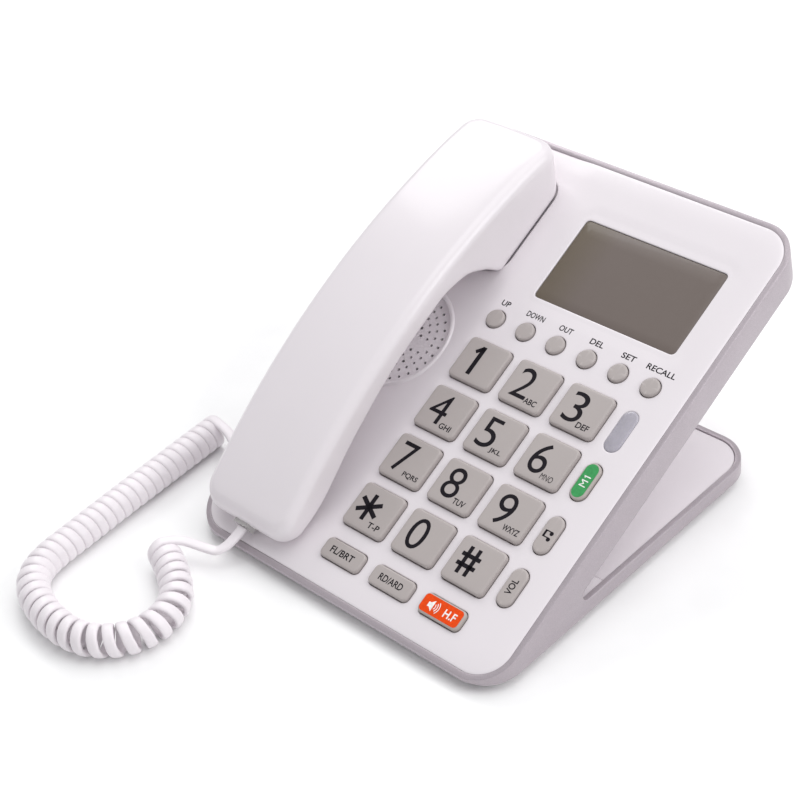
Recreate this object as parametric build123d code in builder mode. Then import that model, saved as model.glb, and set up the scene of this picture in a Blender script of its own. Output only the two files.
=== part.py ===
from build123d import *
from math import cos, pi, radians, sin, tan
import os

os.makedirs("parts", exist_ok=True)

# ---------------------------------------------------------------- body
# +X runs to the right, +Y to the back and +Z up. The origin is on the desk, under the
# middle of the telephone. The sloping face carries its own plane, FACE: x to the right,
# y up the slope from the front edge, z out of the face.
WIDTH = 160.0
FACE_LENGTH = 209.6
TILT = 24.8
SLAB_THICKNESS = 12.6
FOOT_REAR_Y = 60.9
FRONT_Y = -97.8
FRONT_LIP_Z = 5.8
PLATE_BOTTOM_Z = 1.5
FRAME_BOTTOM_Z = 4.2
FOOT_TOP_Z = 10.6
CORNER_RADIUS = 16.0
RIM = 2.4
CROTCH_RADIUS = 3.2
FIT = 0.15
LIP_FIT = 0.35
SKIN = 2.0
PANEL = 2.2
COVER_SET_BACK = 0.5

FACE = Plane(
    origin=(0, FRONT_Y, FRONT_LIP_Z),
    x_dir=(1, 0, 0),
    z_dir=(0, -sin(radians(TILT)), cos(radians(TILT))),
)
NORMAL_AXIS = Axis((0, 0, 0), FACE.z_dir)
SIDE = Plane(origin=(0, 0, 0), x_dir=(0, 1, 0), z_dir=(1, 0, 0))
INNER_WIDTH = WIDTH - 2 * RIM
LIGHT_WIDTH = INNER_WIDTH - 2 * FIT

# ---------------------------------------------------------------- controls on the face
KEY_PITCH_X = 25.5
KEY_PITCH_Y = 23.8
KEY_FIRST_X = -7.1
KEY_LAST_Y = 37.7
KEY_SIZE = (20.4, 18.9)
KEY_CORNER = 2.1
KEY_PROUD = 2.5
KEY_BOTTOM = -3.5
FLANGE = 1.0
FLANGE_TOP = -2.5
HOLE_GAP = 0.35

FUNCTION_SIZE = (19.8, 8.4)
FUNCTION_CORNER = 2.2
FUNCTION_Y = 17.1
FUNCTION_PROUD = 2.0

ROUND_DIAMETER = 7.9
ROUND_FIRST_X = -14.5
ROUND_PITCH = 15.3
ROUND_Y = 129.0
ROUND_PROUD = 1.6

PILL_SIZE = (7.0, 16.0)
PILL_X = 62.4
PILL_ROWS = {"button_memory": 85.3, "button_ringer": 61.0, "button_volume": 37.5}
PILL_PROUD = 1.6
LED_SIZE = (7.1, 18.4)
LED_Y = 108.7

LCD_CENTRE = (27.7, 163.9)
LCD_WINDOW = (68.8, 39.0)
LCD_CORNER = 2.0
LCD_LEDGE = 2.2
LENS_RECESS = 0.4
LENS_THICKNESS = 1.1

GRILLE_CENTRE = (-52.0, 107.1)
GRILLE_RADIUS = 23.1
GRILLE_RING = 2.0
GRILLE_RECESS = 1.4
GRILLE_HOLE = 0.6
GRILLE_RINGS = [
    (20.45, 32, 0.5),
    (17.1, 32, 0.5),
    (13.8, 26, 0),
    (10.45, 18, 0),
    (7.1, 12, 0),
    (3.75, 6, 0),
]

# ---------------------------------------------------------------- layers under the face
MAT_TOP = -5.8
MAT_BOTTOM = -7.0
DOME_TOP = -5.0
DOME_RADIUS = 4.0
BOARD_BOTTOM = -8.6
COVER_TOP = -(SLAB_THICKNESS - COVER_SET_BACK - SKIN)
MAT_BOX = (88.0, 123.6)
MAT_CENTRE = (24.0, 74.7)
BOARD_BOX = (90.0, 121.8)
BOARD_CENTRE = (24.0, 75.6)

# ---------------------------------------------------------------- handset
HANDSET_X = -51.0
HANDSET_WIDTH = 46.0
HANDSET_FRONT = 7.9
HANDSET_BACK = 201.0
HANDSET_WALL = 2.2
EAR_BOTTOM = -1.6
MOUTH_BOTTOM = 0.4
SEAT_FLOOR = -2.0
SEAT_Y = (140.5, 203.4)
SEAT_WIDTH = 49.0
EAR_Y = 175.0
HANDSET_JACK_N = 5.4

# ---------------------------------------------------------------- cord
COIL_DIAMETER = 13.5
LEAD_DIAMETER = 4.4
COIL_Z = 6.8
BASE_JACK_Y = -61.0
BASE_JACK_Z = 10.5
PLUG = (7.4, 5.6)

DESK_TO_FACE = 1 / cos(radians(TILT))


def face_height(y):
    """Height of the face above the desk at a depth y."""
    return FRONT_LIP_Z + (y - FRONT_Y) * tan(radians(TILT))


def face_point(x, y, n):
    """Point at (x, y) on the face, n outwards from it, in the telephone's own frame."""
    return FACE.from_local_coords(Vector(x, y, n))


def finish(builder, label):
    """Label the finished piece and write it to its own file."""
    builder.part.label = label
    export_step(builder.part, f"parts/{label}.step")


def side_notch(growth):
    """Wedge between the sloping slab and the foot, seen from the side, grown by growth."""
    drop = SLAB_THICKNESS * DESK_TO_FACE
    slope = tan(radians(TILT))
    apex_y = FRONT_Y + (FOOT_TOP_Z - FRONT_LIP_Z + drop) / slope
    far = 260.0
    with BuildSketch(SIDE) as notch:
        with BuildLine():
            Polyline(
                (apex_y, FOOT_TOP_Z),
                (apex_y + far, FOOT_TOP_Z),
                (apex_y + far, FOOT_TOP_Z + far * slope),
                close=True,
            )
        make_face()
        fillet(notch.vertices().sort_by(Axis.X)[0], CROTCH_RADIUS)
        if growth:
            offset(amount=growth)
    return notch.sketch


def slab_outline(inset, width, radius):
    """Rounded outline of the slab in the face plane."""
    length = FACE_LENGTH - 2 * inset
    with BuildSketch(FACE) as outline:
        with Locations((0, FACE_LENGTH / 2)):
            RectangleRounded(width, length, radius)
    return outline.sketch


def foot_outline(inset, width, radius):
    """Rounded outline of the foot on the desk."""
    length = FOOT_REAR_Y - FRONT_Y - 2 * inset
    with BuildSketch(Plane.XY) as outline:
        with Locations((0, (FOOT_REAR_Y + FRONT_Y) / 2)):
            RectangleRounded(width, length, radius)
    return outline.sketch


def side_span(low_z, width):
    """The whole wedge-shaped body as one block, before it is hollowed."""
    back_top = face_point(0, FACE_LENGTH, 0)
    back_low = face_point(0, FACE_LENGTH, -SLAB_THICKNESS)
    with BuildPart() as block:
        with BuildSketch(SIDE.offset(-width / 2)):
            with BuildLine():
                Polyline(
                    (FRONT_Y, low_z),
                    (FRONT_Y, FRONT_LIP_Z),
                    (back_top.Y, back_top.Z),
                    (back_low.Y, back_low.Z),
                    (FOOT_REAR_Y, FOOT_TOP_Z),
                    (FOOT_REAR_Y, low_z),
                    close=True,
                )
            make_face()
        extrude(amount=width)
    return block.part


# ---------------------------------------------------------------- housing
with BuildPart() as base_frame:
    add(side_span(FRAME_BOTTOM_Z, WIDTH))
    extrude(side_notch(0), amount=WIDTH, both=True, mode=Mode.SUBTRACT)
    fillet(base_frame.edges().filter_by(NORMAL_AXIS), CORNER_RADIUS)
    fillet(base_frame.edges().filter_by(Axis.Z), CORNER_RADIUS)
    slab_cut = slab_outline(RIM, INNER_WIDTH, CORNER_RADIUS - RIM)
    extrude(slab_cut, amount=SLAB_THICKNESS + 6, dir=-FACE.z_dir, mode=Mode.SUBTRACT)
    foot_cut = foot_outline(RIM, INNER_WIDTH, CORNER_RADIUS - RIM)
    extrude(foot_cut, amount=FOOT_TOP_Z + 6, mode=Mode.SUBTRACT)
    with Locations((-WIDTH / 2, BASE_JACK_Y, BASE_JACK_Z)):
        Box(4 * RIM, PLUG[0] + 0.8, PLUG[1] + 0.8, mode=Mode.SUBTRACT)
    with BuildSketch(Plane(face_point(20, FACE_LENGTH, -6.2), x_dir=(1, 0, 0), z_dir=FACE.y_dir)):
        Rectangle(10.4, 7.2)
    extrude(amount=2 * RIM, both=True, mode=Mode.SUBTRACT)
finish(base_frame, "base_frame")

# Two covers close the wedge: one up the back of the slab, one on top of the foot.
SPLIT_Y = -32.0
SPLIT_Z = 12.0
POST_RADIUS = 2.5
SCREW_HOLE = 1.3
SCREW_POST_RADIUS = 3.2
SCREW_Y = 46.0
SCREW_X = 66.0
REAR_SCREWS = [(-SCREW_X, SCREW_Y), (SCREW_X, SCREW_Y)]
FRONT_SCREW_Y = -74.0
FRONT_SCREW_X = 73.0
FRONT_SCREWS = [(-FRONT_SCREW_X, FRONT_SCREW_Y), (FRONT_SCREW_X, FRONT_SCREW_Y)]
CASE_POSTS = [(-72.0, 138.0), (72.0, 138.0), (-72.0, 198.0), (72.0, 198.0)]
CASE_POST_RADIUS = 3.4
BOARD_POSTS = [(-12.0, 84.0), (60.0, 84.0), (-12.0, 130.0), (60.0, 130.0)]
PLATE_TOP = PLATE_BOTTOM_Z + SKIN
PLATE_LIP_TOP = 4.4
PLATE_LIP = 1.2
FOOT_SKIN_LOW = FOOT_TOP_Z - COVER_SET_BACK - SKIN

light_slab = slab_outline(RIM + LIP_FIT, LIGHT_WIDTH, CORNER_RADIUS - RIM - FIT)
with BuildPart() as back_cover:
    extrude(side_notch(COVER_SET_BACK + SKIN), amount=LIGHT_WIDTH / 2, both=True)
    extrude(side_notch(COVER_SET_BACK), amount=WIDTH, both=True, mode=Mode.SUBTRACT)
    extrude(light_slab, amount=SLAB_THICKNESS + 30, dir=-FACE.z_dir, mode=Mode.INTERSECT)
    with Locations((0, SPLIT_Y - FIT / 2, 0)):
        Box(WIDTH, 160, SPLIT_Z, align=(Align.CENTER, Align.MIN, Align.MIN), mode=Mode.SUBTRACT)
    with Locations(FACE.offset(COVER_TOP)):
        with Locations(*BOARD_POSTS):
            board_post = BOARD_BOTTOM - COVER_TOP
            Cylinder(POST_RADIUS, board_post, align=(Align.CENTER, Align.CENTER, Align.MIN))
finish(back_cover, "back_cover")

light_foot = foot_outline(RIM + FIT, LIGHT_WIDTH, CORNER_RADIUS - RIM - FIT)
with BuildPart() as foot_cover:
    extrude(side_notch(COVER_SET_BACK + SKIN), amount=LIGHT_WIDTH / 2, both=True)
    extrude(side_notch(COVER_SET_BACK), amount=WIDTH, both=True, mode=Mode.SUBTRACT)
    extrude(light_foot, amount=FOOT_TOP_Z, mode=Mode.INTERSECT)
    split(bisect_by=Plane((0, SPLIT_Y + FIT / 2, 0), z_dir=(0, 1, 0)), keep=Keep.TOP)
    foot_post = FOOT_SKIN_LOW - PLATE_TOP
    with Locations([(x, y, PLATE_TOP) for x, y in REAR_SCREWS]):
        Cylinder(SCREW_POST_RADIUS, foot_post, align=(Align.CENTER, Align.CENTER, Align.MIN))
        Cylinder(SCREW_HOLE, foot_post, align=(Align.CENTER, Align.CENTER, Align.MIN), mode=Mode.SUBTRACT)
finish(foot_cover, "foot_cover")

FEET = [(-60, -80), (60, -80), (-60, 32), (60, 32)]
FOOT_PAD_RADIUS = 6.0
FOOT_PAD_RECESS = 0.8

with BuildPart() as bottom_plate:
    extrude(light_foot.moved(Location((0, 0, PLATE_BOTTOM_Z))), amount=PLATE_LIP_TOP - PLATE_BOTTOM_Z)
    lip_set_in = RIM + FIT + PLATE_LIP
    lip_inside = foot_outline(lip_set_in, LIGHT_WIDTH - 2 * PLATE_LIP, CORNER_RADIUS - lip_set_in)
    extrude(lip_inside.moved(Location((0, 0, PLATE_TOP))), amount=SKIN, mode=Mode.SUBTRACT)
    with Locations(*REAR_SCREWS, *FRONT_SCREWS):
        Cylinder(1.7, 12, mode=Mode.SUBTRACT)
    with Locations([(x, y, PLATE_BOTTOM_Z) for x, y in REAR_SCREWS + FRONT_SCREWS]):
        Cylinder(3.0, 2.0, mode=Mode.SUBTRACT)
    with Locations([(x, y, PLATE_BOTTOM_Z) for x, y in FEET]):
        Cylinder(FOOT_PAD_RADIUS + 0.1, 2 * FOOT_PAD_RECESS, mode=Mode.SUBTRACT)
    with BuildSketch(Plane.XY.offset(PLATE_TOP)):
        with GridLocations(6, 0, 7, 1):
            with Locations((0, 10)):
                SlotOverall(30, 1.6, rotation=90)
    extrude(amount=-2 * SKIN, mode=Mode.SUBTRACT)
finish(bottom_plate, "bottom_plate")

with BuildPart() as rubber_feet:
    with Locations([(x, y, 0) for x, y in FEET]):
        pad = PLATE_BOTTOM_Z + FOOT_PAD_RECESS
        Cylinder(FOOT_PAD_RADIUS, pad, align=(Align.CENTER, Align.CENTER, Align.MIN))
    chamfer(rubber_feet.edges().group_by(Axis.Z)[0], 0.4)
finish(rubber_feet, "rubber_feet")

# ---------------------------------------------------------------- face panel
KEY_NAMES = [
    ["key_1", "key_2", "key_3"],
    ["key_4", "key_5", "key_6"],
    ["key_7", "key_8", "key_9"],
    ["key_star", "key_0", "key_hash"],
]
KEY_PLACES = {}
for row, names in enumerate(KEY_NAMES):
    for column, name in enumerate(names):
        KEY_PLACES[name] = (KEY_FIRST_X + column * KEY_PITCH_X, KEY_LAST_Y + (3 - row) * KEY_PITCH_Y)
FUNCTION_PLACES = {
    "key_flash": (KEY_FIRST_X, FUNCTION_Y),
    "key_redial": (KEY_FIRST_X + KEY_PITCH_X, FUNCTION_Y),
    "key_handsfree": (KEY_FIRST_X + 2 * KEY_PITCH_X, FUNCTION_Y),
}
ROUND_NAMES = ["button_up", "button_down", "button_out", "button_delete", "button_set", "button_recall"]
ROUND_PLACES = {name: (ROUND_FIRST_X + i * ROUND_PITCH, ROUND_Y) for i, name in enumerate(ROUND_NAMES)}
PILL_PLACES = {name: (PILL_X, y) for name, y in PILL_ROWS.items()}
PLUNGER_SIZE = (9.0, 5.0)
PLUNGER_Y = 190.0
SEAT_MIDDLE = (SEAT_Y[0] + SEAT_Y[1]) / 2
SEAT_LENGTH = SEAT_Y[1] - SEAT_Y[0]

with BuildPart() as face_panel:
    extrude(light_slab, amount=-PANEL)
    # seat for the ear end of the handset, sunk into the face
    with BuildSketch(FACE):
        with Locations((HANDSET_X, SEAT_MIDDLE)):
            RectangleRounded(SEAT_WIDTH + 2, SEAT_LENGTH + 1.6, 9)
    extrude(amount=SEAT_FLOOR - PANEL)
    with BuildSketch(FACE):
        with Locations((HANDSET_X, SEAT_MIDDLE)):
            RectangleRounded(SEAT_WIDTH - 1, SEAT_LENGTH - 1.4, 8)
    extrude(amount=SEAT_FLOOR, mode=Mode.SUBTRACT)
    # loudspeaker grille: a raised ring round a sunk disc with rings of small holes
    with BuildSketch(FACE):
        with Locations(GRILLE_CENTRE):
            Circle(GRILLE_RADIUS + GRILLE_RING)
    extrude(amount=0.6)
    with BuildSketch(FACE.offset(-PANEL)):
        with Locations(GRILLE_CENTRE):
            Circle(GRILLE_RADIUS + GRILLE_RING)
    extrude(amount=-1.0)
    with BuildSketch(FACE.offset(1)):
        with Locations(GRILLE_CENTRE):
            Circle(GRILLE_RADIUS)
    extrude(amount=-1 - GRILLE_RECESS, mode=Mode.SUBTRACT)
    with BuildSketch(FACE):
        for radius, count, phase in GRILLE_RINGS:
            with Locations(GRILLE_CENTRE):
                with PolarLocations(radius, count, start_angle=phase * 360 / count):
                    Circle(GRILLE_HOLE)
    extrude(amount=-2 * PANEL, mode=Mode.SUBTRACT)
    # openings for the controls
    with BuildSketch(FACE):
        with Locations(*KEY_PLACES.values()):
            RectangleRounded(KEY_SIZE[0] + 2 * HOLE_GAP, KEY_SIZE[1] + 2 * HOLE_GAP, KEY_CORNER + HOLE_GAP)
        with Locations(*FUNCTION_PLACES.values()):
            width, height = FUNCTION_SIZE
            RectangleRounded(width + 2 * HOLE_GAP, height + 2 * HOLE_GAP, FUNCTION_CORNER + HOLE_GAP)
        with Locations(*ROUND_PLACES.values()):
            Circle(ROUND_DIAMETER / 2 + HOLE_GAP)
        with Locations(*PILL_PLACES.values()):
            SlotOverall(PILL_SIZE[1] + 2 * HOLE_GAP, PILL_SIZE[0] + 2 * HOLE_GAP, rotation=90)
        with Locations((PILL_X, LED_Y)):
            SlotOverall(LED_SIZE[1] + 0.1, LED_SIZE[0] + 0.1, rotation=90)
        with Locations((HANDSET_X, PLUNGER_Y)):
            RectangleRounded(PLUNGER_SIZE[0] + 0.8, PLUNGER_SIZE[1] + 0.8, 1.5)
        with Locations(LCD_CENTRE):
            RectangleRounded(LCD_WINDOW[0] - 2 * LCD_LEDGE, LCD_WINDOW[1] - 2 * LCD_LEDGE, 1)
    extrude(amount=-3 * PANEL, mode=Mode.SUBTRACT)
    with BuildSketch(FACE):
        with Locations(LCD_CENTRE):
            RectangleRounded(LCD_WINDOW[0], LCD_WINDOW[1], LCD_CORNER)
    extrude(amount=-(LENS_RECESS + LENS_THICKNESS), mode=Mode.SUBTRACT)
    # posts that rest on the covers, and the two that the front screws bite into
    with Locations(FACE.offset(-PANEL)):
        with Locations(*CASE_POSTS):
            Cylinder(CASE_POST_RADIUS, -COVER_TOP - PANEL, align=(Align.CENTER, Align.CENTER, Align.MAX))
    with Locations([(x, y, PLATE_TOP) for x, y in FRONT_SCREWS]):
        front_post = face_height(FRONT_SCREW_Y - SCREW_POST_RADIUS) - PLATE_TOP - 1.0
        Cylinder(SCREW_POST_RADIUS, front_post, align=(Align.CENTER, Align.CENTER, Align.MIN))
        Cylinder(SCREW_HOLE, 8.0, align=(Align.CENTER, Align.CENTER, Align.MIN), mode=Mode.SUBTRACT)
finish(face_panel, "face_panel")

# ---------------------------------------------------------------- keys and buttons
with BuildPart() as lcd_lens:
    with BuildSketch(FACE.offset(-LENS_RECESS)):
        with Locations(LCD_CENTRE):
            RectangleRounded(LCD_WINDOW[0] - FIT, LCD_WINDOW[1] - FIT, LCD_CORNER - FIT / 2)
    extrude(amount=-LENS_THICKNESS)
finish(lcd_lens, "lcd_lens")

LCD_GLASS = (70.0, 40.0)
for name, size, top, bottom in (
    ("lcd_glass", LCD_GLASS, -2.4, -4.8),
    ("lcd_backlight", (LCD_GLASS[0] - 2, LCD_GLASS[1] - 2), -4.9, -6.6),
    ("lcd_board", (LCD_GLASS[0] + 4, LCD_GLASS[1] + 6), -6.8, BOARD_BOTTOM + 0.2),
):
    with BuildPart() as layer:
        with BuildSketch(FACE.offset(top)):
            with Locations(LCD_CENTRE):
                Rectangle(*size)
        extrude(amount=bottom - top)
    finish(layer, name)


def push_button(name, place, cap, flange, proud, softening):
    """One key: a cap through the face, softened on top, on a flange that stays under the face."""
    with BuildPart() as button:
        with BuildSketch(FACE.offset(proud)):
            with Locations(place):
                add(cap)
        extrude(amount=KEY_BOTTOM - proud)
        crown = button.faces().sort_by(NORMAL_AXIS)[-1]
        chamfer(crown.edges(), softening)
        with BuildSketch(FACE.offset(FLANGE_TOP)):
            with Locations(place):
                add(flange)
        extrude(amount=KEY_BOTTOM - FLANGE_TOP)
    finish(button, name)


def rounded(size, radius, growth=0.0):
    """Rounded rectangle of the given size, grown by growth on every side."""
    return RectangleRounded(size[0] + 2 * growth, size[1] + 2 * growth, radius, mode=Mode.PRIVATE)


def pill(size, growth=0.0):
    """Upright slot-shaped outline of the given size, grown by growth on every side."""
    return SlotOverall(size[1] + 2 * growth, size[0] + 2 * growth, rotation=90, mode=Mode.PRIVATE)


def disc(diameter, growth=0.0):
    """Circle of the given diameter, grown by growth all round."""
    return Circle(diameter / 2 + growth, mode=Mode.PRIVATE)


for name, place in KEY_PLACES.items():
    cap = rounded(KEY_SIZE, KEY_CORNER)
    push_button(name, place, cap, rounded(KEY_SIZE, KEY_CORNER, FLANGE), KEY_PROUD, 0.6)
for name, place in FUNCTION_PLACES.items():
    cap = rounded(FUNCTION_SIZE, FUNCTION_CORNER)
    push_button(name, place, cap, rounded(FUNCTION_SIZE, FUNCTION_CORNER, FLANGE), FUNCTION_PROUD, 0.5)
for name, place in ROUND_PLACES.items():
    push_button(name, place, disc(ROUND_DIAMETER), disc(ROUND_DIAMETER, FLANGE), ROUND_PROUD, 0.5)
for name, place in PILL_PLACES.items():
    push_button(name, place, pill(PILL_SIZE), pill(PILL_SIZE, FLANGE), PILL_PROUD, 0.5)

led_outline = pill(LED_SIZE)
led_flange = pill(LED_SIZE, FLANGE)
with BuildPart() as led_lens:
    with BuildSketch(FACE.offset(0.8)):
        with Locations((PILL_X, LED_Y)):
            add(led_outline)
    extrude(amount=-0.8 - PANEL)
    chamfer(led_lens.faces().sort_by(NORMAL_AXIS)[-1].edges(), 0.4)
    with BuildSketch(FACE.offset(-PANEL)):
        with Locations((PILL_X, LED_Y)):
            add(led_flange)
    extrude(amount=-0.8)
finish(led_lens, "led_lens")

with BuildPart() as ring_lamp:
    with Locations(FACE.offset(MAT_TOP)):
        with Locations((PILL_X, LED_Y - 4), (PILL_X, LED_Y + 4)):
            Cylinder(1.5, 2.2, align=(Align.CENTER, Align.CENTER, Align.MIN))
finish(ring_lamp, "ring_lamp")

# ---------------------------------------------------------------- under the keys
DOMES = [*KEY_PLACES.values(), *FUNCTION_PLACES.values(), *ROUND_PLACES.values(), *PILL_PLACES.values()]

with BuildPart() as keypad_mat:
    with BuildSketch(FACE.offset(MAT_BOTTOM)):
        with Locations(MAT_CENTRE):
            RectangleRounded(*MAT_BOX, 3)
    extrude(amount=MAT_TOP - MAT_BOTTOM)
    with BuildSketch(FACE.offset(MAT_TOP)):
        with Locations(*DOMES):
            Circle(DOME_RADIUS)
    extrude(amount=DOME_TOP - MAT_TOP, taper=25)
finish(keypad_mat, "keypad_mat")

with BuildPart() as keypad_board:
    with BuildSketch(FACE.offset(MAT_BOTTOM)):
        with Locations(BOARD_CENTRE):
            RectangleRounded(*BOARD_BOX, 2)
    extrude(amount=BOARD_BOTTOM - MAT_BOTTOM)
finish(keypad_board, "keypad_board")

# ---------------------------------------------------------------- loudspeaker, hook, jacks
with BuildPart() as base_speaker:
    with BuildSketch(FACE.offset(-3.4)):
        with Locations(GRILLE_CENTRE):
            Circle(22.0)
            Circle(18.5, mode=Mode.SUBTRACT)
    extrude(amount=-1.6)
    with BuildSketch(FACE.offset(-5.0)):
        with Locations(GRILLE_CENTRE):
            Circle(22.0)
    extrude(amount=-2.4)
    with BuildSketch(FACE.offset(-7.4)):
        with Locations(GRILLE_CENTRE):
            Circle(14.0)
    extrude(amount=COVER_TOP + 7.4 + 0.3)
finish(base_speaker, "base_speaker")

with BuildPart() as handsfree_microphone:
    with Locations((-40, -88, PLATE_TOP)):
        Cylinder(3.0, 3.0, align=(Align.CENTER, Align.CENTER, Align.MIN))
finish(handsfree_microphone, "handsfree_microphone")

HOOK_TRAVEL = 3.0
PLUNGER_TOP = EAR_BOTTOM - 0.2
with BuildPart() as hook_plunger:
    with BuildSketch(FACE.offset(PLUNGER_TOP)):
        with Locations((HANDSET_X, PLUNGER_Y)):
            RectangleRounded(*PLUNGER_SIZE, 1.2)
    extrude(amount=-(HOOK_TRAVEL + 3.4))
    with BuildSketch(FACE.offset(SEAT_FLOOR - PANEL - HOOK_TRAVEL - 0.4)):
        with Locations((HANDSET_X, PLUNGER_Y)):
            RectangleRounded(PLUNGER_SIZE[0] + 3, PLUNGER_SIZE[1] + 2, 1.2)
    extrude(amount=-0.8)
finish(hook_plunger, "hook_plunger")

with BuildPart() as hook_switch:
    with BuildSketch(FACE.offset(COVER_TOP + 0.2)):
        with Locations((HANDSET_X, PLUNGER_Y)):
            Rectangle(12, 6)
    extrude(amount=1.2)
finish(hook_switch, "hook_switch")

SOCKET_GAP = 0.2
SOCKET_DEPTH = 10.0
with BuildPart() as base_jack:
    with Locations((-WIDTH / 2 + RIM + FIT, BASE_JACK_Y, BASE_JACK_Z)):
        Box(13, 11.5, 9.5, align=(Align.MIN, Align.CENTER, Align.CENTER))
        cavity = (SOCKET_DEPTH, PLUG[0] + 2 * SOCKET_GAP, PLUG[1] + 2 * SOCKET_GAP)
        Box(*cavity, align=(Align.MIN, Align.CENTER, Align.CENTER), mode=Mode.SUBTRACT)
finish(base_jack, "base_jack")

LINE_JACK_X = 20.0
LINE_JACK_N = -6.2
LINE_JACK_DEPTH = 14.0
LINE_SOCKET = (9.8, 6.6)
line_jack_mouth = face_point(LINE_JACK_X, FACE_LENGTH - RIM - LIP_FIT, LINE_JACK_N)
rear_wall = Plane(line_jack_mouth, x_dir=(1, 0, 0), z_dir=FACE.y_dir)
with BuildPart() as line_jack:
    with BuildSketch(rear_wall):
        Rectangle(13.0, 7.6)
    extrude(amount=-LINE_JACK_DEPTH)
    with BuildSketch(rear_wall):
        Rectangle(*LINE_SOCKET)
    extrude(amount=-LINE_JACK_DEPTH + 1.5, mode=Mode.SUBTRACT)
finish(line_jack, "line_jack")

with BuildPart() as ballast_weight:
    with Locations((0, -62, PLATE_TOP)):
        Box(90, 16, 5, align=(Align.CENTER, Align.CENTER, Align.MIN))
    fillet(ballast_weight.edges().filter_by(Axis.Z), 2)
finish(ballast_weight, "ballast_weight")

SCREW_HEAD = 2.6
with BuildPart() as case_screws:
    for places, shaft in ((REAR_SCREWS, 5.0), (FRONT_SCREWS, 7.8)):
        with Locations([(x, y, PLATE_BOTTOM_Z + 0.1) for x, y in places]):
            Cylinder(SCREW_HEAD, 0.8, align=(Align.CENTER, Align.CENTER, Align.MIN))
            Cylinder(SCREW_HOLE - 0.05, shaft, align=(Align.CENTER, Align.CENTER, Align.MIN))
finish(case_screws, "case_screws")

# ---------------------------------------------------------------- handset
HANDSET = Plane(face_point(HANDSET_X, 0, 0), x_dir=FACE.y_dir, z_dir=(1, 0, 0))
HANDSET_CORNER = 9.0
TOP_EDGE = 4.5
UNDER = [(150, EAR_BOTTOM), (143.5, 7), (134, 15.2), (119, 18.6), (92, 17.6), (60, 12.2), (34, 4.6)]
UNDER_END = (20, MOUTH_BOTTOM)
MOUTH_TOP = 12.6
CROWN_TOP = (112, 31.0)
EAR_TOP = 19.0


def underside(lift, front, back):
    """Line of the handset's underside, lifted by lift, between two places along its length."""
    Line((back, EAR_BOTTOM + lift), (UNDER[0][0], EAR_BOTTOM + lift))
    points = [(y, n + lift) for y, n in [*UNDER, UNDER_END]]
    Spline(*points, tangents=[(-1, 0), (-1, 0)])
    Line((UNDER_END[0], MOUTH_BOTTOM + lift), (front, MOUTH_BOTTOM + lift))


def handset_plan(inset):
    """Rounded outline of the handset seen from above its face."""
    length = HANDSET_BACK - HANDSET_FRONT - 2 * inset
    with BuildSketch(FACE.offset(-10)) as plan:
        with Locations((HANDSET_X, (HANDSET_BACK + HANDSET_FRONT) / 2)):
            RectangleRounded(HANDSET_WIDTH - 2 * inset, length, HANDSET_CORNER - inset)
    return plan.sketch


def handset_block(inset, low):
    """Handset between its arched top, lowered by inset, and its underside or a flat level below."""
    front = HANDSET_FRONT + inset
    back = HANDSET_BACK - inset
    with BuildPart() as block:
        with BuildSketch(HANDSET):
            with BuildLine():
                if low is None:
                    underside(0, front, back)
                    floor = (EAR_BOTTOM, MOUTH_BOTTOM)
                else:
                    Line((back, low), (front, low))
                    floor = (low, low)
                Line((front, floor[1]), (front, MOUTH_TOP - inset))
                crown_middle = (CROWN_TOP[0], CROWN_TOP[1] - inset)
                ThreePointArc((front, MOUTH_TOP - inset), crown_middle, (back, EAR_TOP - inset))
                Line((back, EAR_TOP - inset), (back, floor[0]))
            make_face()
        extrude(amount=HANDSET_WIDTH / 2 - inset, both=True)
        extrude(handset_plan(inset), amount=60, mode=Mode.INTERSECT)
    return block.part


with BuildPart() as handset_outer_shell:
    add(handset_block(0, None))
    crown = handset_outer_shell.faces().sort_by(NORMAL_AXIS)[-1]
    fillet(crown.edges(), TOP_EDGE)
    add(handset_block(HANDSET_WALL, -8), mode=Mode.SUBTRACT)
    jack_middle = face_point(HANDSET_X, HANDSET_FRONT, HANDSET_JACK_N)
    jack_hole = Plane(jack_middle, x_dir=(1, 0, 0), z_dir=FACE.y_dir)
    with BuildSketch(jack_hole):
        Rectangle(PLUG[0] + 0.6, PLUG[1] + 0.6)
    extrude(amount=2 * HANDSET_WALL, both=True, mode=Mode.SUBTRACT)
finish(handset_outer_shell, "handset_outer_shell")

INNER_INSET = HANDSET_WALL + 0.1
INNER_SKIN = 2.4
with BuildPart() as handset_inner_shell:
    with BuildSketch(HANDSET):
        with BuildLine():
            front = HANDSET_FRONT + INNER_INSET
            back = HANDSET_BACK - INNER_INSET
            underside(0, front, back)
            Line((front, MOUTH_BOTTOM), (front, MOUTH_BOTTOM + INNER_SKIN))
            underside(INNER_SKIN, front, back)
            Line((back, EAR_BOTTOM + INNER_SKIN), (back, EAR_BOTTOM))
        make_face()
    extrude(amount=HANDSET_WIDTH / 2 - INNER_INSET, both=True)
    extrude(handset_plan(INNER_INSET), amount=60, mode=Mode.INTERSECT)
    with BuildSketch(jack_hole):
        Rectangle(PLUG[0] + 5, PLUG[1] + 4.6)
    extrude(amount=17, mode=Mode.SUBTRACT)
    with BuildSketch(FACE):
        with Locations((HANDSET_X, EAR_Y)):
            with PolarLocations(6, 8):
                Circle(0.8)
            Circle(0.8)
        with Locations((HANDSET_X, 32)):
            SlotOverall(6, 1.4)
    extrude(amount=9, both=True, mode=Mode.SUBTRACT)
finish(handset_inner_shell, "handset_inner_shell")

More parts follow.
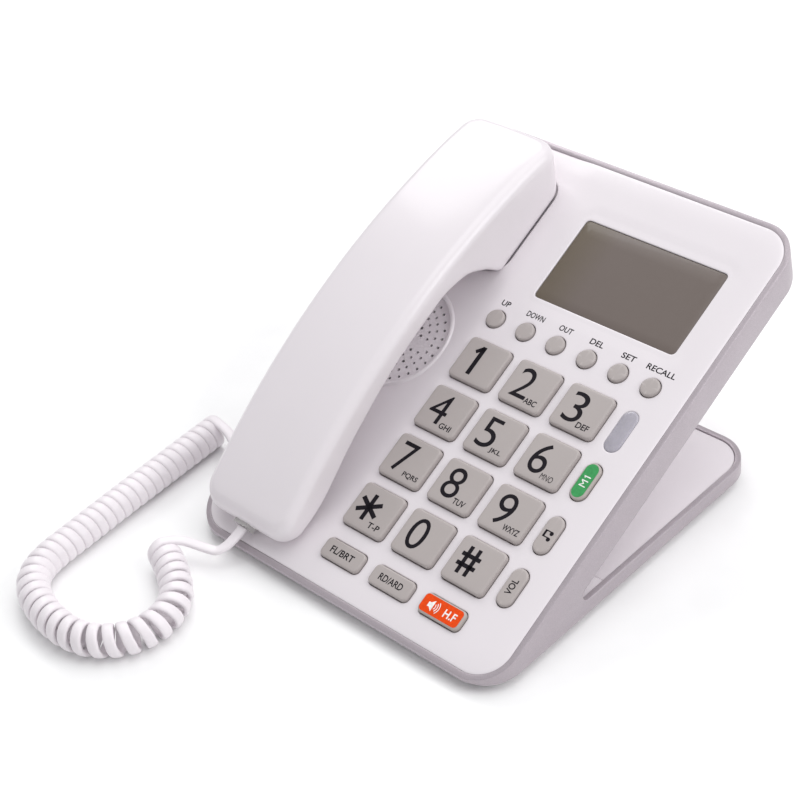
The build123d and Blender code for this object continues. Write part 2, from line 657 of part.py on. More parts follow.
EAR_FLOOR = EAR_BOTTOM + INNER_SKIN + 0.1
with BuildPart() as earpiece:
    with BuildSketch(FACE.offset(EAR_FLOOR)):
        with Locations((HANDSET_X, EAR_Y)):
            Circle(14)
            Circle(9, mode=Mode.SUBTRACT)
    extrude(amount=1.2)
    with BuildSketch(FACE.offset(EAR_FLOOR + 1.2)):
        with Locations((HANDSET_X, EAR_Y)):
            Circle(14)
    extrude(amount=3.4, taper=18)
finish(earpiece, "earpiece")

with BuildPart() as handset_weight:
    with BuildSketch(FACE.offset(EAR_FLOOR + 6)):
        with Locations((HANDSET_X, EAR_Y)):
            RectangleRounded(30, 34, 3)
    extrude(amount=6)
finish(handset_weight, "handset_weight")

with BuildPart() as handset_microphone:
    with BuildSketch(FACE.offset(10.0)):
        with Locations((HANDSET_X, 33)):
            Circle(4.8)
    extrude(amount=3.4)
finish(handset_microphone, "handset_microphone")

jack_front = jack_hole.offset(INNER_INSET)
with BuildPart() as handset_jack:
    with BuildSketch(jack_front):
        Rectangle(PLUG[0] + 4, PLUG[1] + 3)
    extrude(amount=13)
    with BuildSketch(jack_front):
        Rectangle(PLUG[0] + 2 * SOCKET_GAP, PLUG[1] + 2 * SOCKET_GAP)
    extrude(amount=SOCKET_DEPTH, mode=Mode.SUBTRACT)
finish(handset_jack, "handset_jack")

with BuildPart() as handset_screws:
    with Locations(FACE.offset(EAR_FLOOR)):
        with Locations((HANDSET_X, 156), (HANDSET_X, 196)):
            Cylinder(1.1, 7.0, align=(Align.CENTER, Align.CENTER, Align.MIN))
finish(handset_screws, "handset_screws")

# ---------------------------------------------------------------- cord
PLUG_LENGTH = 11.0
PLUG_STICKS_OUT = 1.5
plug_face = jack_hole.offset(-PLUG_STICKS_OUT)
with BuildPart() as plug_handset:
    with BuildSketch(plug_face):
        Rectangle(*PLUG)
    extrude(amount=PLUG_LENGTH)
finish(plug_handset, "plug_handset")

BASE_PLUG_X = -WIDTH / 2 - PLUG_STICKS_OUT
with BuildPart() as plug_base:
    with Locations((BASE_PLUG_X, BASE_JACK_Y, BASE_JACK_Z)):
        Box(PLUG_LENGTH, *PLUG, align=(Align.MIN, Align.CENTER, Align.CENTER))
finish(plug_base, "plug_base")

COIL_ROUTE = [
    (-106.4, -56.0, COIL_Z),
    (-104.8, -92.0, COIL_Z),
    (-102.8, -130.0, COIL_Z),
    (-101.0, -158.0, COIL_Z),
    (-88.0, -168.5, COIL_Z),
    (-60.0, -171.5, COIL_Z),
    (-42.0, -160.0, COIL_Z),
    (-38.5, -143.0, COIL_Z),
    (-49.0, -129.0, COIL_Z),
    (-70.0, -120.5, COIL_Z),
]
BASE_LEAD_ROUTE = [
    (BASE_PLUG_X, BASE_JACK_Y, BASE_JACK_Z),
    (BASE_PLUG_X - 12.0, BASE_JACK_Y + 0.2, BASE_JACK_Z + 1.0),
    (BASE_PLUG_X - 24.0, BASE_JACK_Y + 1.2, BASE_JACK_Z + 0.6),
]
LEAD_GAP = 0.3
exit_y = HANDSET_FRONT - PLUG_STICKS_OUT - LEAD_GAP
HANDSET_LEAD_ROUTE = [
    tuple(face_point(HANDSET_X, exit_y, HANDSET_JACK_N)),
    tuple(face_point(HANDSET_X, exit_y - 14.0, HANDSET_JACK_N)),
    (-61.0, -116.5, 7.4),
    (-69.0, -121.8, 10.6),
]


def route_radii(route):
    """One arc radius for each corner of a route, as large as its two runs allow."""
    radii = []
    for before, corner, after in zip(route[:-2], route[1:-1], route[2:]):
        run_in = Vector(*corner) - Vector(*before)
        run_out = Vector(*after) - Vector(*corner)
        turn = radians(run_in.get_angle(run_out))
        shorter = min(run_in.length, run_out.length)
        radii.append(0.45 * shorter / tan(turn / 2))
    return radii


def cord_tube(label, route, diameter):
    """A round tube along straight runs joined by tangent arcs."""
    radii = route_radii(route)
    with BuildPart() as tube:
        with BuildLine() as path:
            FilletPolyline(*route, radius=radii)
        with BuildSketch(Plane(path.line @ 0, z_dir=path.line % 0)):
            Circle(diameter / 2)
        sweep(path=path.line)
    length = path.wires()[0].length
    expected = pi * diameter**2 / 4 * length
    print(label, "radii", [round(r, 1) for r in radii], "length", round(length, 1))
    print(label, "volume over section times length", round(tube.part.volume / expected, 4))
    finish(tube, label)


cord_tube("cord_coil", COIL_ROUTE, COIL_DIAMETER)
cord_tube("cord_lead_base", BASE_LEAD_ROUTE, LEAD_DIAMETER)
cord_tube("cord_lead_handset", HANDSET_LEAD_ROUTE, LEAD_DIAMETER)
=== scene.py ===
from math import ceil, cos, hypot, pi, radians, sin, sqrt, tau

import bmesh
import bpy
from mathutils import Matrix, Vector
from mathutils.geometry import delaunay_2d_cdt


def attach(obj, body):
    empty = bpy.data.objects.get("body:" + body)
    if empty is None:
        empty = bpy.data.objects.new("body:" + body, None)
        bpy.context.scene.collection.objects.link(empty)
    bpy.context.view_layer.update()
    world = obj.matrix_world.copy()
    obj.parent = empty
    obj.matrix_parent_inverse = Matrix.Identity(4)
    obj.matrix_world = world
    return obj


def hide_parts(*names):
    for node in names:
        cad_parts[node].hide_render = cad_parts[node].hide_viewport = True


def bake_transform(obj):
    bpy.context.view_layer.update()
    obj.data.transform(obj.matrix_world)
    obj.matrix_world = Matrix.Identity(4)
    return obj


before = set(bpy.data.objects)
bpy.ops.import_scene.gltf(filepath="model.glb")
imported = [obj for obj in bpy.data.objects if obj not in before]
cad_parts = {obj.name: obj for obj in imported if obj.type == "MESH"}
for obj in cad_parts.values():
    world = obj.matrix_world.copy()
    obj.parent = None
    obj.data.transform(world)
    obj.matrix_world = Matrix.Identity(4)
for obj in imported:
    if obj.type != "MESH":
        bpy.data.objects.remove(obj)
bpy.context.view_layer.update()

# Sizes are in millimetres and become metres when a piece is placed. The sloping face has
# its own axes: x to the right, y up the slope from the front edge, n out of the face.
MM = 0.001
TILT = radians(24.8)
FRONT_Y = -97.8
FRONT_LIP_Z = 5.8
WIDTH = 160.0
FACE_LENGTH = 209.6
CORNER = 16.0
RIM = 2.4
FACE_ORIGIN = Matrix.Translation((0, FRONT_Y * MM, FRONT_LIP_Z * MM))
PLACE_FACE = FACE_ORIGIN @ Matrix.Rotation(TILT, 4, "X") @ Matrix.Scale(MM, 4)
PLACE_DESK = Matrix.Scale(MM, 4)


def on_face(x, y, n):
    """A place on the face, in metres in the telephone's own frame."""
    return PLACE_FACE @ Vector((x, y, n))


# ---------------------------------------------------------------- camera and light
CAMERA_PLACE = Vector((0.4390, -0.4391, 0.5224))
CAMERA_AIM = Vector((-0.02986, -0.0231, 0.0400))
CAMERA_ROLL = radians(-8.117)
CAMERA_LENS = 90.59
FLOOR_HALF = 6.0


def make_camera():
    """The one camera, aimed down at the telephone from its front right."""
    lens = bpy.data.cameras.new("camera")
    lens.lens = CAMERA_LENS
    lens.sensor_width = 36.0
    lens.clip_end = 30.0
    camera = bpy.data.objects.new("camera", lens)
    turn = (CAMERA_AIM - CAMERA_PLACE).to_track_quat("-Z", "Y").to_matrix().to_4x4()
    camera.matrix_world = Matrix.Translation(CAMERA_PLACE) @ turn @ Matrix.Rotation(CAMERA_ROLL, 4, "Z")
    bpy.context.scene.collection.objects.link(camera)
    bpy.context.scene.camera = camera


def make_light(name, place, aim, size, power, tint=(1, 1, 1)):
    """A square soft light at place, turned to aim."""
    lamp = bpy.data.lights.new(name, "AREA")
    lamp.size = size
    lamp.energy = power
    lamp.color = tint
    light = bpy.data.objects.new(name, lamp)
    turn = (Vector(aim) - Vector(place)).to_track_quat("-Z", "Y").to_matrix().to_4x4()
    light.matrix_world = Matrix.Translation(place) @ turn
    bpy.context.scene.collection.objects.link(light)


def make_studio():
    """Pale floor, an even pale sky and three soft lights."""
    half = FLOOR_HALF
    corners = [(-half, -half, 0), (half, -half, 0), (half, half, 0), (-half, half, 0)]
    mesh = bpy.data.meshes.new("floor")
    mesh.from_pydata(corners, [], [(0, 1, 2, 3)])
    floor = bpy.data.objects.new("floor", mesh)
    bpy.context.scene.collection.objects.link(floor)
    floor.data.materials.append(plastic("floor_paper", (250, 250, 250), 0.95, gloss=0.1, grain=400))
    world = bpy.data.worlds.new("studio")
    world.use_nodes = True
    world.node_tree.nodes["Background"].inputs["Color"].default_value = (0.98, 0.985, 1.0, 1)
    world.node_tree.nodes["Background"].inputs["Strength"].default_value = 0.55
    bpy.context.scene.world = world
    sun = bpy.data.lights.new("window", "SUN")
    sun.energy = 1.05
    sun.angle = radians(50)
    window = bpy.data.objects.new("window", sun)
    window.matrix_world = Vector((-0.10, -0.25, -1.0)).to_track_quat("-Z", "Y").to_matrix().to_4x4()
    bpy.context.scene.collection.objects.link(window)
    make_light("soft_right", (0.95, 0.35, 0.75), (0, 0, 0.03), 0.7, 5)
    make_light("soft_left", (-0.8, 0.5, 0.9), (0, 0, 0.03), 0.6, 4)
    bpy.context.scene.view_settings.view_transform = "Standard"
    bpy.context.scene.view_settings.look = "None"


# ---------------------------------------------------------------- finishes
def paint(colour):
    """A linear colour from its everyday 0 to 255 values."""
    parts = [value / 255 for value in colour]
    return tuple(p / 12.92 if p <= 0.04045 else ((p + 0.055) / 1.055) ** 2.4 for p in parts) + (1.0,)


def wired(tree, kind, links=None, values=None, **settings):
    """A new node of a tree with its settings, its input values and what feeds its inputs."""
    node = tree.nodes.new(kind)
    for name, setting in settings.items():
        setattr(node, name, setting)
    set_sockets(node, values or {})
    for name, sources in (links or {}).items():
        for source in sources if isinstance(sources, list) else [sources]:
            tree.links.new(source, node.inputs[name])
    return node


def set_sockets(node, values):
    """Sets a node's own inputs."""
    for name, value in values.items():
        node.inputs[name].default_value = value


def finish_parts(name):
    """A new material with its nodes, links, shader and object coordinates."""
    material = bpy.data.materials.new(name)
    material.use_nodes = True
    tree = material.node_tree
    place = tree.nodes.new("ShaderNodeTexCoord").outputs["Object"]
    return material, tree, tree.nodes["Principled BSDF"], place


def noise(tree, place, scale, detail=3.0):
    """Noise of the given scale, in features to a metre."""
    values = {"Scale": scale, "Detail": detail, "Roughness": 0.5}
    return wired(tree, "ShaderNodeTexNoise", {"Vector": place}, values).outputs["Fac"]


def spread(tree, value, low, high):
    """A noise value spread between low and high."""
    values = {"From Min": 0.3, "From Max": 0.7, "To Min": low, "To Max": high}
    return wired(tree, "ShaderNodeMapRange", {"Value": value}, values).outputs["Result"]


def blend_colours(tree, value, low, high, start=0.32, end=0.68):
    """One colour that drifts from low to high as the value runs from start to end."""
    node = wired(tree, "ShaderNodeValToRGB", {"Fac": value})
    for stop, position, colour in zip(node.color_ramp.elements, (start, end), (low, high)):
        stop.position = position
        stop.color = colour
    return node.outputs["Color"]


def bumps(tree, shader, value, strength, depth):
    """Raises the surface by depth, in metres, where the value is high."""
    node = wired(tree, "ShaderNodeBump", {"Height": value}, {"Strength": strength, "Distance": depth})
    tree.links.new(node.outputs["Normal"], shader.inputs["Normal"])


def shades(colour, drift):
    """A darker and a lighter shade of a colour."""
    base = paint(colour)[:3]
    return [tuple(min(1.0, part * (1 + side * drift)) for part in base) + (1.0,) for side in (-1, 1)]


def plastic(name, colour, roughness, drift=0.03, mottle=22, grain=2200, depth=0.00003, gloss=0.5, coat=0.0):
    """Moulded plastic: a drifting tone, a fine grain in the surface and uneven gloss."""
    material, tree, shader, place = finish_parts(name)
    tone = blend_colours(tree, noise(tree, place, mottle), *shades(colour, drift))
    tree.links.new(tone, shader.inputs["Base Color"])
    fine = noise(tree, place, grain, 2.0)
    patches = noise(tree, place, mottle * 9)
    rough = spread(tree, patches, roughness * 0.96, min(1.0, roughness * 1.05))
    tree.links.new(rough, shader.inputs["Roughness"])
    bumps(tree, shader, fine, 0.35, depth)
    set_sockets(shader, {"Specular IOR Level": gloss, "Coat Weight": coat, "Coat Roughness": 0.12})
    return material


def silver_paint(name, colour, roughness):
    """Silver lacquer: small bright flakes under a satin film."""
    material, tree, shader, place = finish_parts(name)
    flakes = wired(tree, "ShaderNodeTexVoronoi", {"Vector": place}, {"Scale": 5200})
    tone = blend_colours(tree, flakes.outputs["Distance"], *shades(colour, 0.1))
    tree.links.new(tone, shader.inputs["Base Color"])
    rough = spread(tree, noise(tree, place, 90), roughness * 0.85, roughness * 1.2)
    tree.links.new(rough, shader.inputs["Roughness"])
    bumps(tree, shader, noise(tree, place, 3000, 2.0), 0.3, 0.00002)
    set_sockets(shader, {"Metallic": 0.35, "Specular IOR Level": 0.5})
    return material


def clear_plastic(name, colour, roughness, clarity):
    """Plastic that light goes through, slightly clouded."""
    material = plastic(name, colour, roughness, drift=0.04, mottle=60, grain=900, depth=0.00001, gloss=0.6)
    shader = material.node_tree.nodes["Principled BSDF"]
    set_sockets(shader, {"Transmission Weight": clarity, "IOR": 1.49})
    return material


def lamp_plastic(name, colour):
    """Frosted lamp cover, milky where it is thick."""
    material = plastic(name, colour, 0.28, drift=0.10, mottle=140, grain=1500, depth=0.00003, coat=0.4)
    shader = material.node_tree.nodes["Principled BSDF"]
    milk = {"Subsurface Weight": 0.25, "Subsurface Radius": (0.004, 0.004, 0.005), "Subsurface Scale": 0.3}
    set_sockets(shader, milk)
    return material


def display_film(name):
    """The dark display: a green-brown edge on the left that turns grey, and a faint cell pattern."""
    material, tree, shader, place = finish_parts(name)
    split = wired(tree, "ShaderNodeSeparateXYZ", {"Vector": place})
    edge = {"From Min": -0.007, "From Max": 0.012}
    across = wired(tree, "ShaderNodeMapRange", {"Value": split.outputs["X"]}, edge).outputs["Result"]
    tone = blend_colours(tree, across, paint((106, 96, 82)), paint((113, 103, 98)), 0.0, 1.0)
    grid = {
        "Scale": 900,
        "Mortar Size": 0.03,
        "Color1": (1, 1, 1, 1),
        "Color2": (0.98, 0.98, 0.98, 1),
        "Mortar": (0.93, 0.93, 0.93, 1),
    }
    cells = wired(tree, "ShaderNodeTexBrick", {"Vector": place}, grid, offset=0.0)
    pair = {6: tone, 7: cells.outputs["Color"]}
    mix = wired(tree, "ShaderNodeMix", pair, {"Factor": 1.0}, data_type="RGBA", blend_type="MULTIPLY")
    tree.links.new(mix.outputs[2], shader.inputs["Base Color"])
    tree.links.new(spread(tree, noise(tree, place, 300), 0.30, 0.36), shader.inputs["Roughness"])
    bumps(tree, shader, noise(tree, place, 4000), 0.2, 0.00001)
    set_sockets(shader, {"Specular IOR Level": 0.25, "Coat Weight": 0.15, "Coat Roughness": 0.06})
    return material


def circuit_board(name):
    """Green laminate with a net of pale tracks under the varnish."""
    material, tree, shader, place = finish_parts(name)
    net = {
        "Scale": 160,
        "Mortar Size": 0.05,
        "Color1": paint((66, 92, 52)),
        "Color2": paint((58, 84, 48)),
        "Mortar": paint((96, 122, 72)),
    }
    tracks = wired(tree, "ShaderNodeTexBrick", {"Vector": place}, net)
    tree.links.new(tracks.outputs["Color"], shader.inputs["Base Color"])
    tree.links.new(spread(tree, noise(tree, place, 200), 0.3, 0.42), shader.inputs["Roughness"])
    bumps(tree, shader, tracks.outputs["Fac"], 0.4, 0.00004)
    return material


def turned_steel(name):
    """Zinc-plated steel with fine turning marks."""
    material, tree, shader, place = finish_parts(name)
    tone = blend_colours(tree, noise(tree, place, 900), paint((170, 170, 172)), paint((205, 204, 202)))
    tree.links.new(tone, shader.inputs["Base Color"])
    tree.links.new(spread(tree, noise(tree, place, 3000), 0.24, 0.4), shader.inputs["Roughness"])
    bumps(tree, shader, noise(tree, place, 5000), 0.3, 0.00002)
    set_sockets(shader, {"Metallic": 1.0})
    return material


def printed_ink(name, colour):
    """Screen-printed ink: dense, nearly matt, with slightly uneven cover."""
    return plastic(name, colour, 0.6, drift=0.12, mottle=900, grain=5000, depth=0.00001, gloss=0.2)


SHELL_WHITE = (230, 224, 228)
KEY_GREY = (176, 168, 166)
PILL_GREY = (176, 168, 163)
KEY_GRAIN = {"drift": 0.02, "grain": 3500, "depth": 0.00004}
RUBBER_GRAIN = {"drift": 0.15, "mottle": 300, "grain": 1800, "depth": 0.00008, "gloss": 0.3}
CORD_GRAIN = {"drift": 0.03, "mottle": 120, "grain": 2600, "gloss": 0.45}
FINISHES = {
    "white_shell": plastic("white_shell", SHELL_WHITE, 0.3, drift=0.006, mottle=40, coat=0.3),
    "silver_frame": silver_paint("silver_paint", (176, 167, 173), 0.36),
    "grey_key": plastic("grey_key_plastic", KEY_GREY, 0.42, **KEY_GRAIN),
    "orange_key": plastic("key_body_plastic", PILL_GREY, 0.42, **KEY_GRAIN),
    "green_key": plastic("pill_body_plastic", PILL_GREY, 0.42, **KEY_GRAIN),
    "lens": clear_plastic("display_window", (238, 236, 232), 0.04, 1.0),
    "lamp_lens": lamp_plastic("lamp_cover", (170, 166, 176)),
    "lcd": display_film("display_film"),
    "rubber": plastic("foot_rubber", (58, 57, 58), 0.8, **RUBBER_GRAIN),
    "mat": plastic("keypad_silicone", (150, 152, 158), 0.6, drift=0.06, mottle=80, grain=1500),
    "board": circuit_board("circuit_board"),
    "steel": turned_steel("zinc_steel"),
    "black": plastic("black_moulding", (30, 30, 32), 0.45, drift=0.15, mottle=120, grain=1800),
    "clear_plug": clear_plastic("plug_plastic", (236, 234, 232), 0.12, 0.55),
    "cord": plastic("cord_vinyl", (236, 230, 234), 0.36, **CORD_GRAIN),
}
BLACK_INK = printed_ink("black_ink", (16, 10, 20))
WHITE_INK = printed_ink("white_ink", (244, 242, 240))
ORANGE_INK = printed_ink("orange_ink", (232, 72, 2))
GREEN_INK = printed_ink("green_ink", (62, 152, 88))


def finish_cad_nodes():
    """Every part that keeps its own shape gets the finish of its slot."""
    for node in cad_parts.values():
        for index, material in enumerate(node.data.materials):
            node.data.materials[index] = FINISHES[material.name.split(".")[0]]


# ---------------------------------------------------------------- making a piece
def add_piece(name, points, faces, material, body, place=PLACE_FACE, crease=38):
    """A closed piece from its points and faces, smooth but for edges sharper than crease degrees."""
    mesh = bpy.data.meshes.new(name)
    shape = bmesh.new()
    corners = [shape.verts.new(place @ Vector(p)) for p in points]
    for face in faces:
        if len(set(face)) == len(face):
            shape.faces.new([corners[i] for i in face])
    bmesh.ops.recalc_face_normals(shape, faces=shape.faces)
    shape.to_mesh(mesh)
    shape.free()
    return add_mesh(name, mesh, material, body, crease)


def add_mesh(name, mesh, material, body, crease=38):
    """Puts a finished mesh in the scene with its material, on its body if it has one."""
    mesh.name = name
    mesh.materials.clear()
    mesh.materials.append(material)
    mesh.shade_smooth()
    mesh.set_sharp_from_angle(angle=radians(crease))
    piece = bpy.data.objects.new(name, mesh)
    bpy.context.scene.collection.objects.link(piece)
    if body:
        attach(piece, body)
    return piece


def baked(piece):
    """The mesh of a piece with its modifiers in it."""
    bpy.context.view_layer.update()
    return bpy.data.meshes.new_from_object(piece.evaluated_get(bpy.context.evaluated_depsgraph_get()))


def loose_object(name, mesh):
    """A working object that is only shaped and never shown."""
    thing = bpy.data.objects.new(name, mesh)
    bpy.context.scene.collection.objects.link(thing)
    return thing


def drop(thing):
    """Removes a working object."""
    bpy.data.objects.remove(thing, do_unlink=True)


def rounded_outline(size, radius, centre=(0, 0), step=0.6):
    """Points round a rounded rectangle, anticlockwise, about step apart on its arcs."""
    half_x, half_y = size[0] / 2, size[1] / 2
    radius = min(radius, half_x, half_y)
    around = max(4, ceil(pi / 2 * radius / step))
    points = []
    for corner, (side_x, side_y) in enumerate([(1, 1), (-1, 1), (-1, -1), (1, -1)]):
        middle = (side_x * (half_x - radius), side_y * (half_y - radius))
        for i in range(around + 1):
            angle = (corner + i / around) * pi / 2
            x = centre[0] + middle[0] + radius * cos(angle)
            points.append((x, centre[1] + middle[1] + radius * sin(angle)))
    return points


def divided(outline, longest):
    """The outline with its long edges divided."""
    points = []
    for a, b in zip(outline, outline[1:] + outline[:1]):
        far = hypot(b[0] - a[0], b[1] - a[1])
        if far < 1e-6:
            continue
        parts = max(1, ceil(far / longest))
        for i in range(parts):
            points.append((a[0] + (b[0] - a[0]) * i / parts, a[1] + (b[1] - a[1]) * i / parts))
    return points


def outside(x, y, opening):
    """How far a place is outside a rounded rectangle (centre, size, radius); less than 0 inside."""
    (cx, cy), (width, height), radius = opening
    over_x = abs(x - cx) - width / 2 + radius
    over_y = abs(y - cy) - height / 2 + radius
    return hypot(max(over_x, 0), max(over_y, 0)) + min(max(over_x, over_y), 0) - radius


def grown(opening, by):
    """The outline of a rounded rectangle (centre, size, radius) grown by by on every side."""
    centre, (width, height), radius = opening
    return rounded_outline((width + 2 * by, height + 2 * by), max(radius + by, 0.05), centre)


def draped(border, openings, insets, growths, spacing, height, edge_step=2.0):
    """Triangles over a rounded rectangle with openings in it, raised to a height at each place.

    Returns the points, the triangles, the border loop and the opening loops.
    """
    flat, edges, loops = [], [], []

    def add_loop(outline):
        start = len(flat)
        flat.extend(outline)
        count = len(outline)
        edges.extend((start + i, start + (i + 1) % count) for i in range(count))
        loops.append(list(range(start, start + count)))

    add_loop(divided(grown(border, 0), edge_step))
    for opening in openings:
        add_loop(divided(grown(opening, 0), edge_step))
    kept_loops = len(loops)
    for inset in insets:
        add_loop(divided(grown(border, -inset), edge_step))
    for opening in openings:
        for growth in growths:
            add_loop(divided(grown(opening, growth), edge_step))
    clear = (insets[-1] if insets else 0) + spacing * 0.6
    wide = (growths[-1] if growths else 0) + spacing * 0.45
    (cx, cy), (width, tall), _ = border
    for row in range(int(tall / spacing) + 1):
        for column in range(int(width / spacing) + 1):
            x = cx - width / 2 + (column + 0.5 * (row % 2)) * spacing
            y = cy - tall / 2 + row * spacing
            if outside(x, y, border) < -clear and all(outside(x, y, o) > wide for o in openings):
                flat.append((x, y))
    out, _, faces, origins, _, _ = delaunay_2d_cdt([Vector(p) for p in flat], edges, [], 0, 1e-5)
    place_of = {}
    for index, sources in enumerate(origins):
        for source in sources:
            place_of[source] = index
    kept = []
    for face in faces:
        x = sum(out[i][0] for i in face) / 3
        y = sum(out[i][1] for i in face) / 3
        if outside(x, y, border) < 0 and all(outside(x, y, o) > 0 for o in openings):
            kept.append(tuple(face))
    points = [(p[0], p[1], height(p[0], p[1])) for p in out]
    named = [[place_of[i] for i in loop] for loop in loops[:kept_loops]]
    return points, kept, named


def tidy_points(points, faces):
    """Only the points that a face uses, with the faces renumbered."""
    used = sorted({i for face in faces for i in face})
    new = {old: fresh for fresh, old in enumerate(used)}
    return [points[i] for i in used], [tuple(new[i] for i in face) for face in faces]


def slab(border, openings, insets, growths, spacing, height, thickness, edge_step=2.0):
    """A closed sheet of the given thickness under a draped surface."""
    points, faces, loops = draped(border, openings, insets, growths, spacing, height, edge_step)
    count = len(points)
    low = [(x, y, n - thickness) for x, y, n in points]
    walls = []
    for loop in loops:
        for a, b in zip(loop, loop[1:] + loop[:1]):
            walls.append((a, b, b + count, a + count))
    under = [tuple(i + count for i in reversed(face)) for face in faces]
    return tidy_points(points + low, faces + under + walls)


CORNER_STEPS = 10


def stacked(place, size, radius, rings):
    """A closed body of rounded rectangles, one for each (inset, n), from the bottom to the top."""
    points = []
    count = 4 * (CORNER_STEPS + 1)
    for inset, n in rings:
        half_x, half_y = size[0] / 2 - inset, size[1] / 2 - inset
        bend = max(min(radius, half_x + inset, half_y + inset) - inset, 0.12)
        for corner, (side_x, side_y) in enumerate([(1, 1), (-1, 1), (-1, -1), (1, -1)]):
            for i in range(CORNER_STEPS + 1):
                angle = (corner + i / CORNER_STEPS) * pi / 2
                x = place[0] + side_x * (half_x - bend) + bend * cos(angle)
                y = place[1] + side_y * (half_y - bend) + bend * sin(angle)
                points.append((x, y, n))
    return points, banded(len(rings), count)


def banded(rings, count):
    """Faces of a closed tube of rings that have count points each, with a lid at both ends."""
    faces = []
    for ring in range(rings - 1):
        for i in range(count):
            a = ring * count + i
            b = ring * count + (i + 1) % count
            faces.append((a, b, b + count, a + count))
    faces.append(tuple(reversed(range(count))))
    faces.append(tuple(range((rings - 1) * count, rings * count)))
    return faces


REAR_LEAN = 0.3
REAR_LEAN_FROM = 176.0
REAR_LEAN_RUN = 24.0


def upright_rear(place):
    """The same place once the slab's rear wall is leaned nearer to upright."""
    local = PLACE_FACE.inverted() @ place
    if local.z < 0:
        local.y += REAR_LEAN * local.z * ease((local.y - REAR_LEAN_FROM) / REAR_LEAN_RUN)
    return PLACE_FACE @ local


def bevelled_copy(node, name, width, body, finish, segments=3):
    """A copy of a CAD part with its triangles joined and every sharp edge rounded."""
    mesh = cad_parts[node].data.copy()
    shape = bmesh.new()
    shape.from_mesh(mesh)
    bmesh.ops.remove_doubles(shape, verts=shape.verts, dist=0.000004)
    bmesh.ops.dissolve_limit(shape, angle_limit=radians(0.6), verts=shape.verts, edges=shape.edges)
    for corner in shape.verts:
        corner.co = upright_rear(corner.co)
    shape.to_mesh(mesh)
    shape.free()
    work = loose_object(name + "_work", mesh)
    bevel = work.modifiers.new("edge", "BEVEL")
    bevel.width = width * MM
    bevel.segments = segments
    bevel.limit_method = "ANGLE"
    bevel.angle_limit = radians(32)
    bevel.miter_outer = "MITER_ARC"
    bevel.harden_normals = False
    result = baked(work)
    drop(work)
    piece = add_mesh(name, result, FINISHES[finish], body, 30)
    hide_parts(node)
    return piece


# ---------------------------------------------------------------- curly cord
COIL_Z = 6.8
COIL_ROUTE = [
    (-112.2, -54.6, COIL_Z),
    (-110.6, -92.0, COIL_Z),
    (-108.6, -130.0, COIL_Z),
    (-106.8, -157.0, COIL_Z),
    (-92.0, -168.5, COIL_Z),
    (-63.0, -172.0, COIL_Z),
    (-46.0, -160.5, COIL_Z),
    (-42.5, -143.0, COIL_Z),
    (-52.0, -127.5, COIL_Z),
    (-72.0, -119.0, COIL_Z),
]
COIL_RADIUS = 5.55
COIL_TOP = COIL_Z + COIL_RADIUS
TURNS = 45
TURN_POINTS = 24
FLAT_WIDTH = 4.4
FLAT_THICKNESS = 2.2
SECTION_CORNERS = 14
BASE_JACK = (-81.5, -61.0, 10.5)
BASE_LEAD = [BASE_JACK, (-92.0, -60.6, 11.0), (-102.0, -55.6, COIL_TOP), (-112.2, -54.6, COIL_TOP)]
HANDSET_X = -51.0
GRIP_X = -50.2
HANDSET_WIDTH = 47.6
HANDSET_JACK_N = 5.4


def smooth_line(route):
    """The smooth curve that a route's points steer, as points in millimetres."""
    data = bpy.data.curves.new("route", "CURVE")
    data.dimensions = "3D"
    data.resolution_u = 24
    spline = data.splines.new("NURBS")
    spline.points.add(len(route) - 1)
    for point, place in zip(spline.points, route):
        point.co = (*(c * MM for c in place), 1)
    spline.order_u = 3
    spline.use_endpoint_u = True
    holder = bpy.data.objects.new("route", data)
    mesh = bpy.data.meshes.new_from_object(holder)
    line = [v.co / MM for v in mesh.vertices]
    bpy.data.objects.remove(holder)
    return line


def places_along(line, fractions):
    """Places and directions at fractions of a line's length."""
    run = [0.0]
    for a, b in zip(line, line[1:]):
        run.append(run[-1] + (b - a).length)
    result = []
    at = 0
    for fraction in fractions:
        target = fraction * run[-1]
        while at < len(line) - 2 and run[at + 1] < target:
            at += 1
        step = (target - run[at]) / max(run[at + 1] - run[at], 1e-9)
        result.append((line[at].lerp(line[at + 1], step), (line[at + 1] - line[at]).normalized()))
    return result


def turn_spacing(fraction):
    """How open the coil is: tight on the long run, fanned out after its bend."""
    if fraction < 0.42:
        return 1.0
    if fraction < 0.56:
        return 1.0 + 0.16 * (fraction - 0.42) / 0.14
    return 1.16 + 0.16 * sin((fraction - 0.56) / 0.44 * pi)


def coil_path():
    """The wound stretch of the cord: its places and the outward direction at each."""
    samples = TURNS * TURN_POINTS
    weights = [turn_spacing(i / samples) for i in range(samples)]
    total = sum(weights)
    fractions = [0.0]
    for weight in weights:
        fractions.append(fractions[-1] + weight / total)
    axis = places_along(smooth_line(COIL_ROUTE), [min(f, 1.0) for f in fractions])
    up = Vector((0, 0, 1))
    path = []
    for index, (place, ahead) in enumerate(axis):
        angle = index / TURN_POINTS * tau
        side = ahead.cross(up).normalized()
        outward = up * cos(angle) + side * sin(angle)
        path.append((place + outward * COIL_RADIUS, outward))
    return path


def lead_path(route):
    """A straight lead of the cord, lying flat."""
    line = smooth_line(route)
    path = []
    for index, place in enumerate(line):
        ahead = (line[min(index + 1, len(line) - 1)] - line[max(index - 1, 0)]).normalized()
        up = Vector((0, 0, 1))
        path.append((place, (up - ahead * up.dot(ahead)).normalized()))
    return path


def flat_section():
    """Outline of the flat cord: across its width and through its thickness."""
    section = []
    for i in range(SECTION_CORNERS):
        angle = i / SECTION_CORNERS * tau
        across = abs(cos(angle)) ** 0.62 * (1 if cos(angle) >= 0 else -1)
        thick = abs(sin(angle)) ** 0.72 * (1 if sin(angle) >= 0 else -1)
        section.append((across * FLAT_WIDTH / 2, thick * FLAT_THICKNESS / 2))
    return section


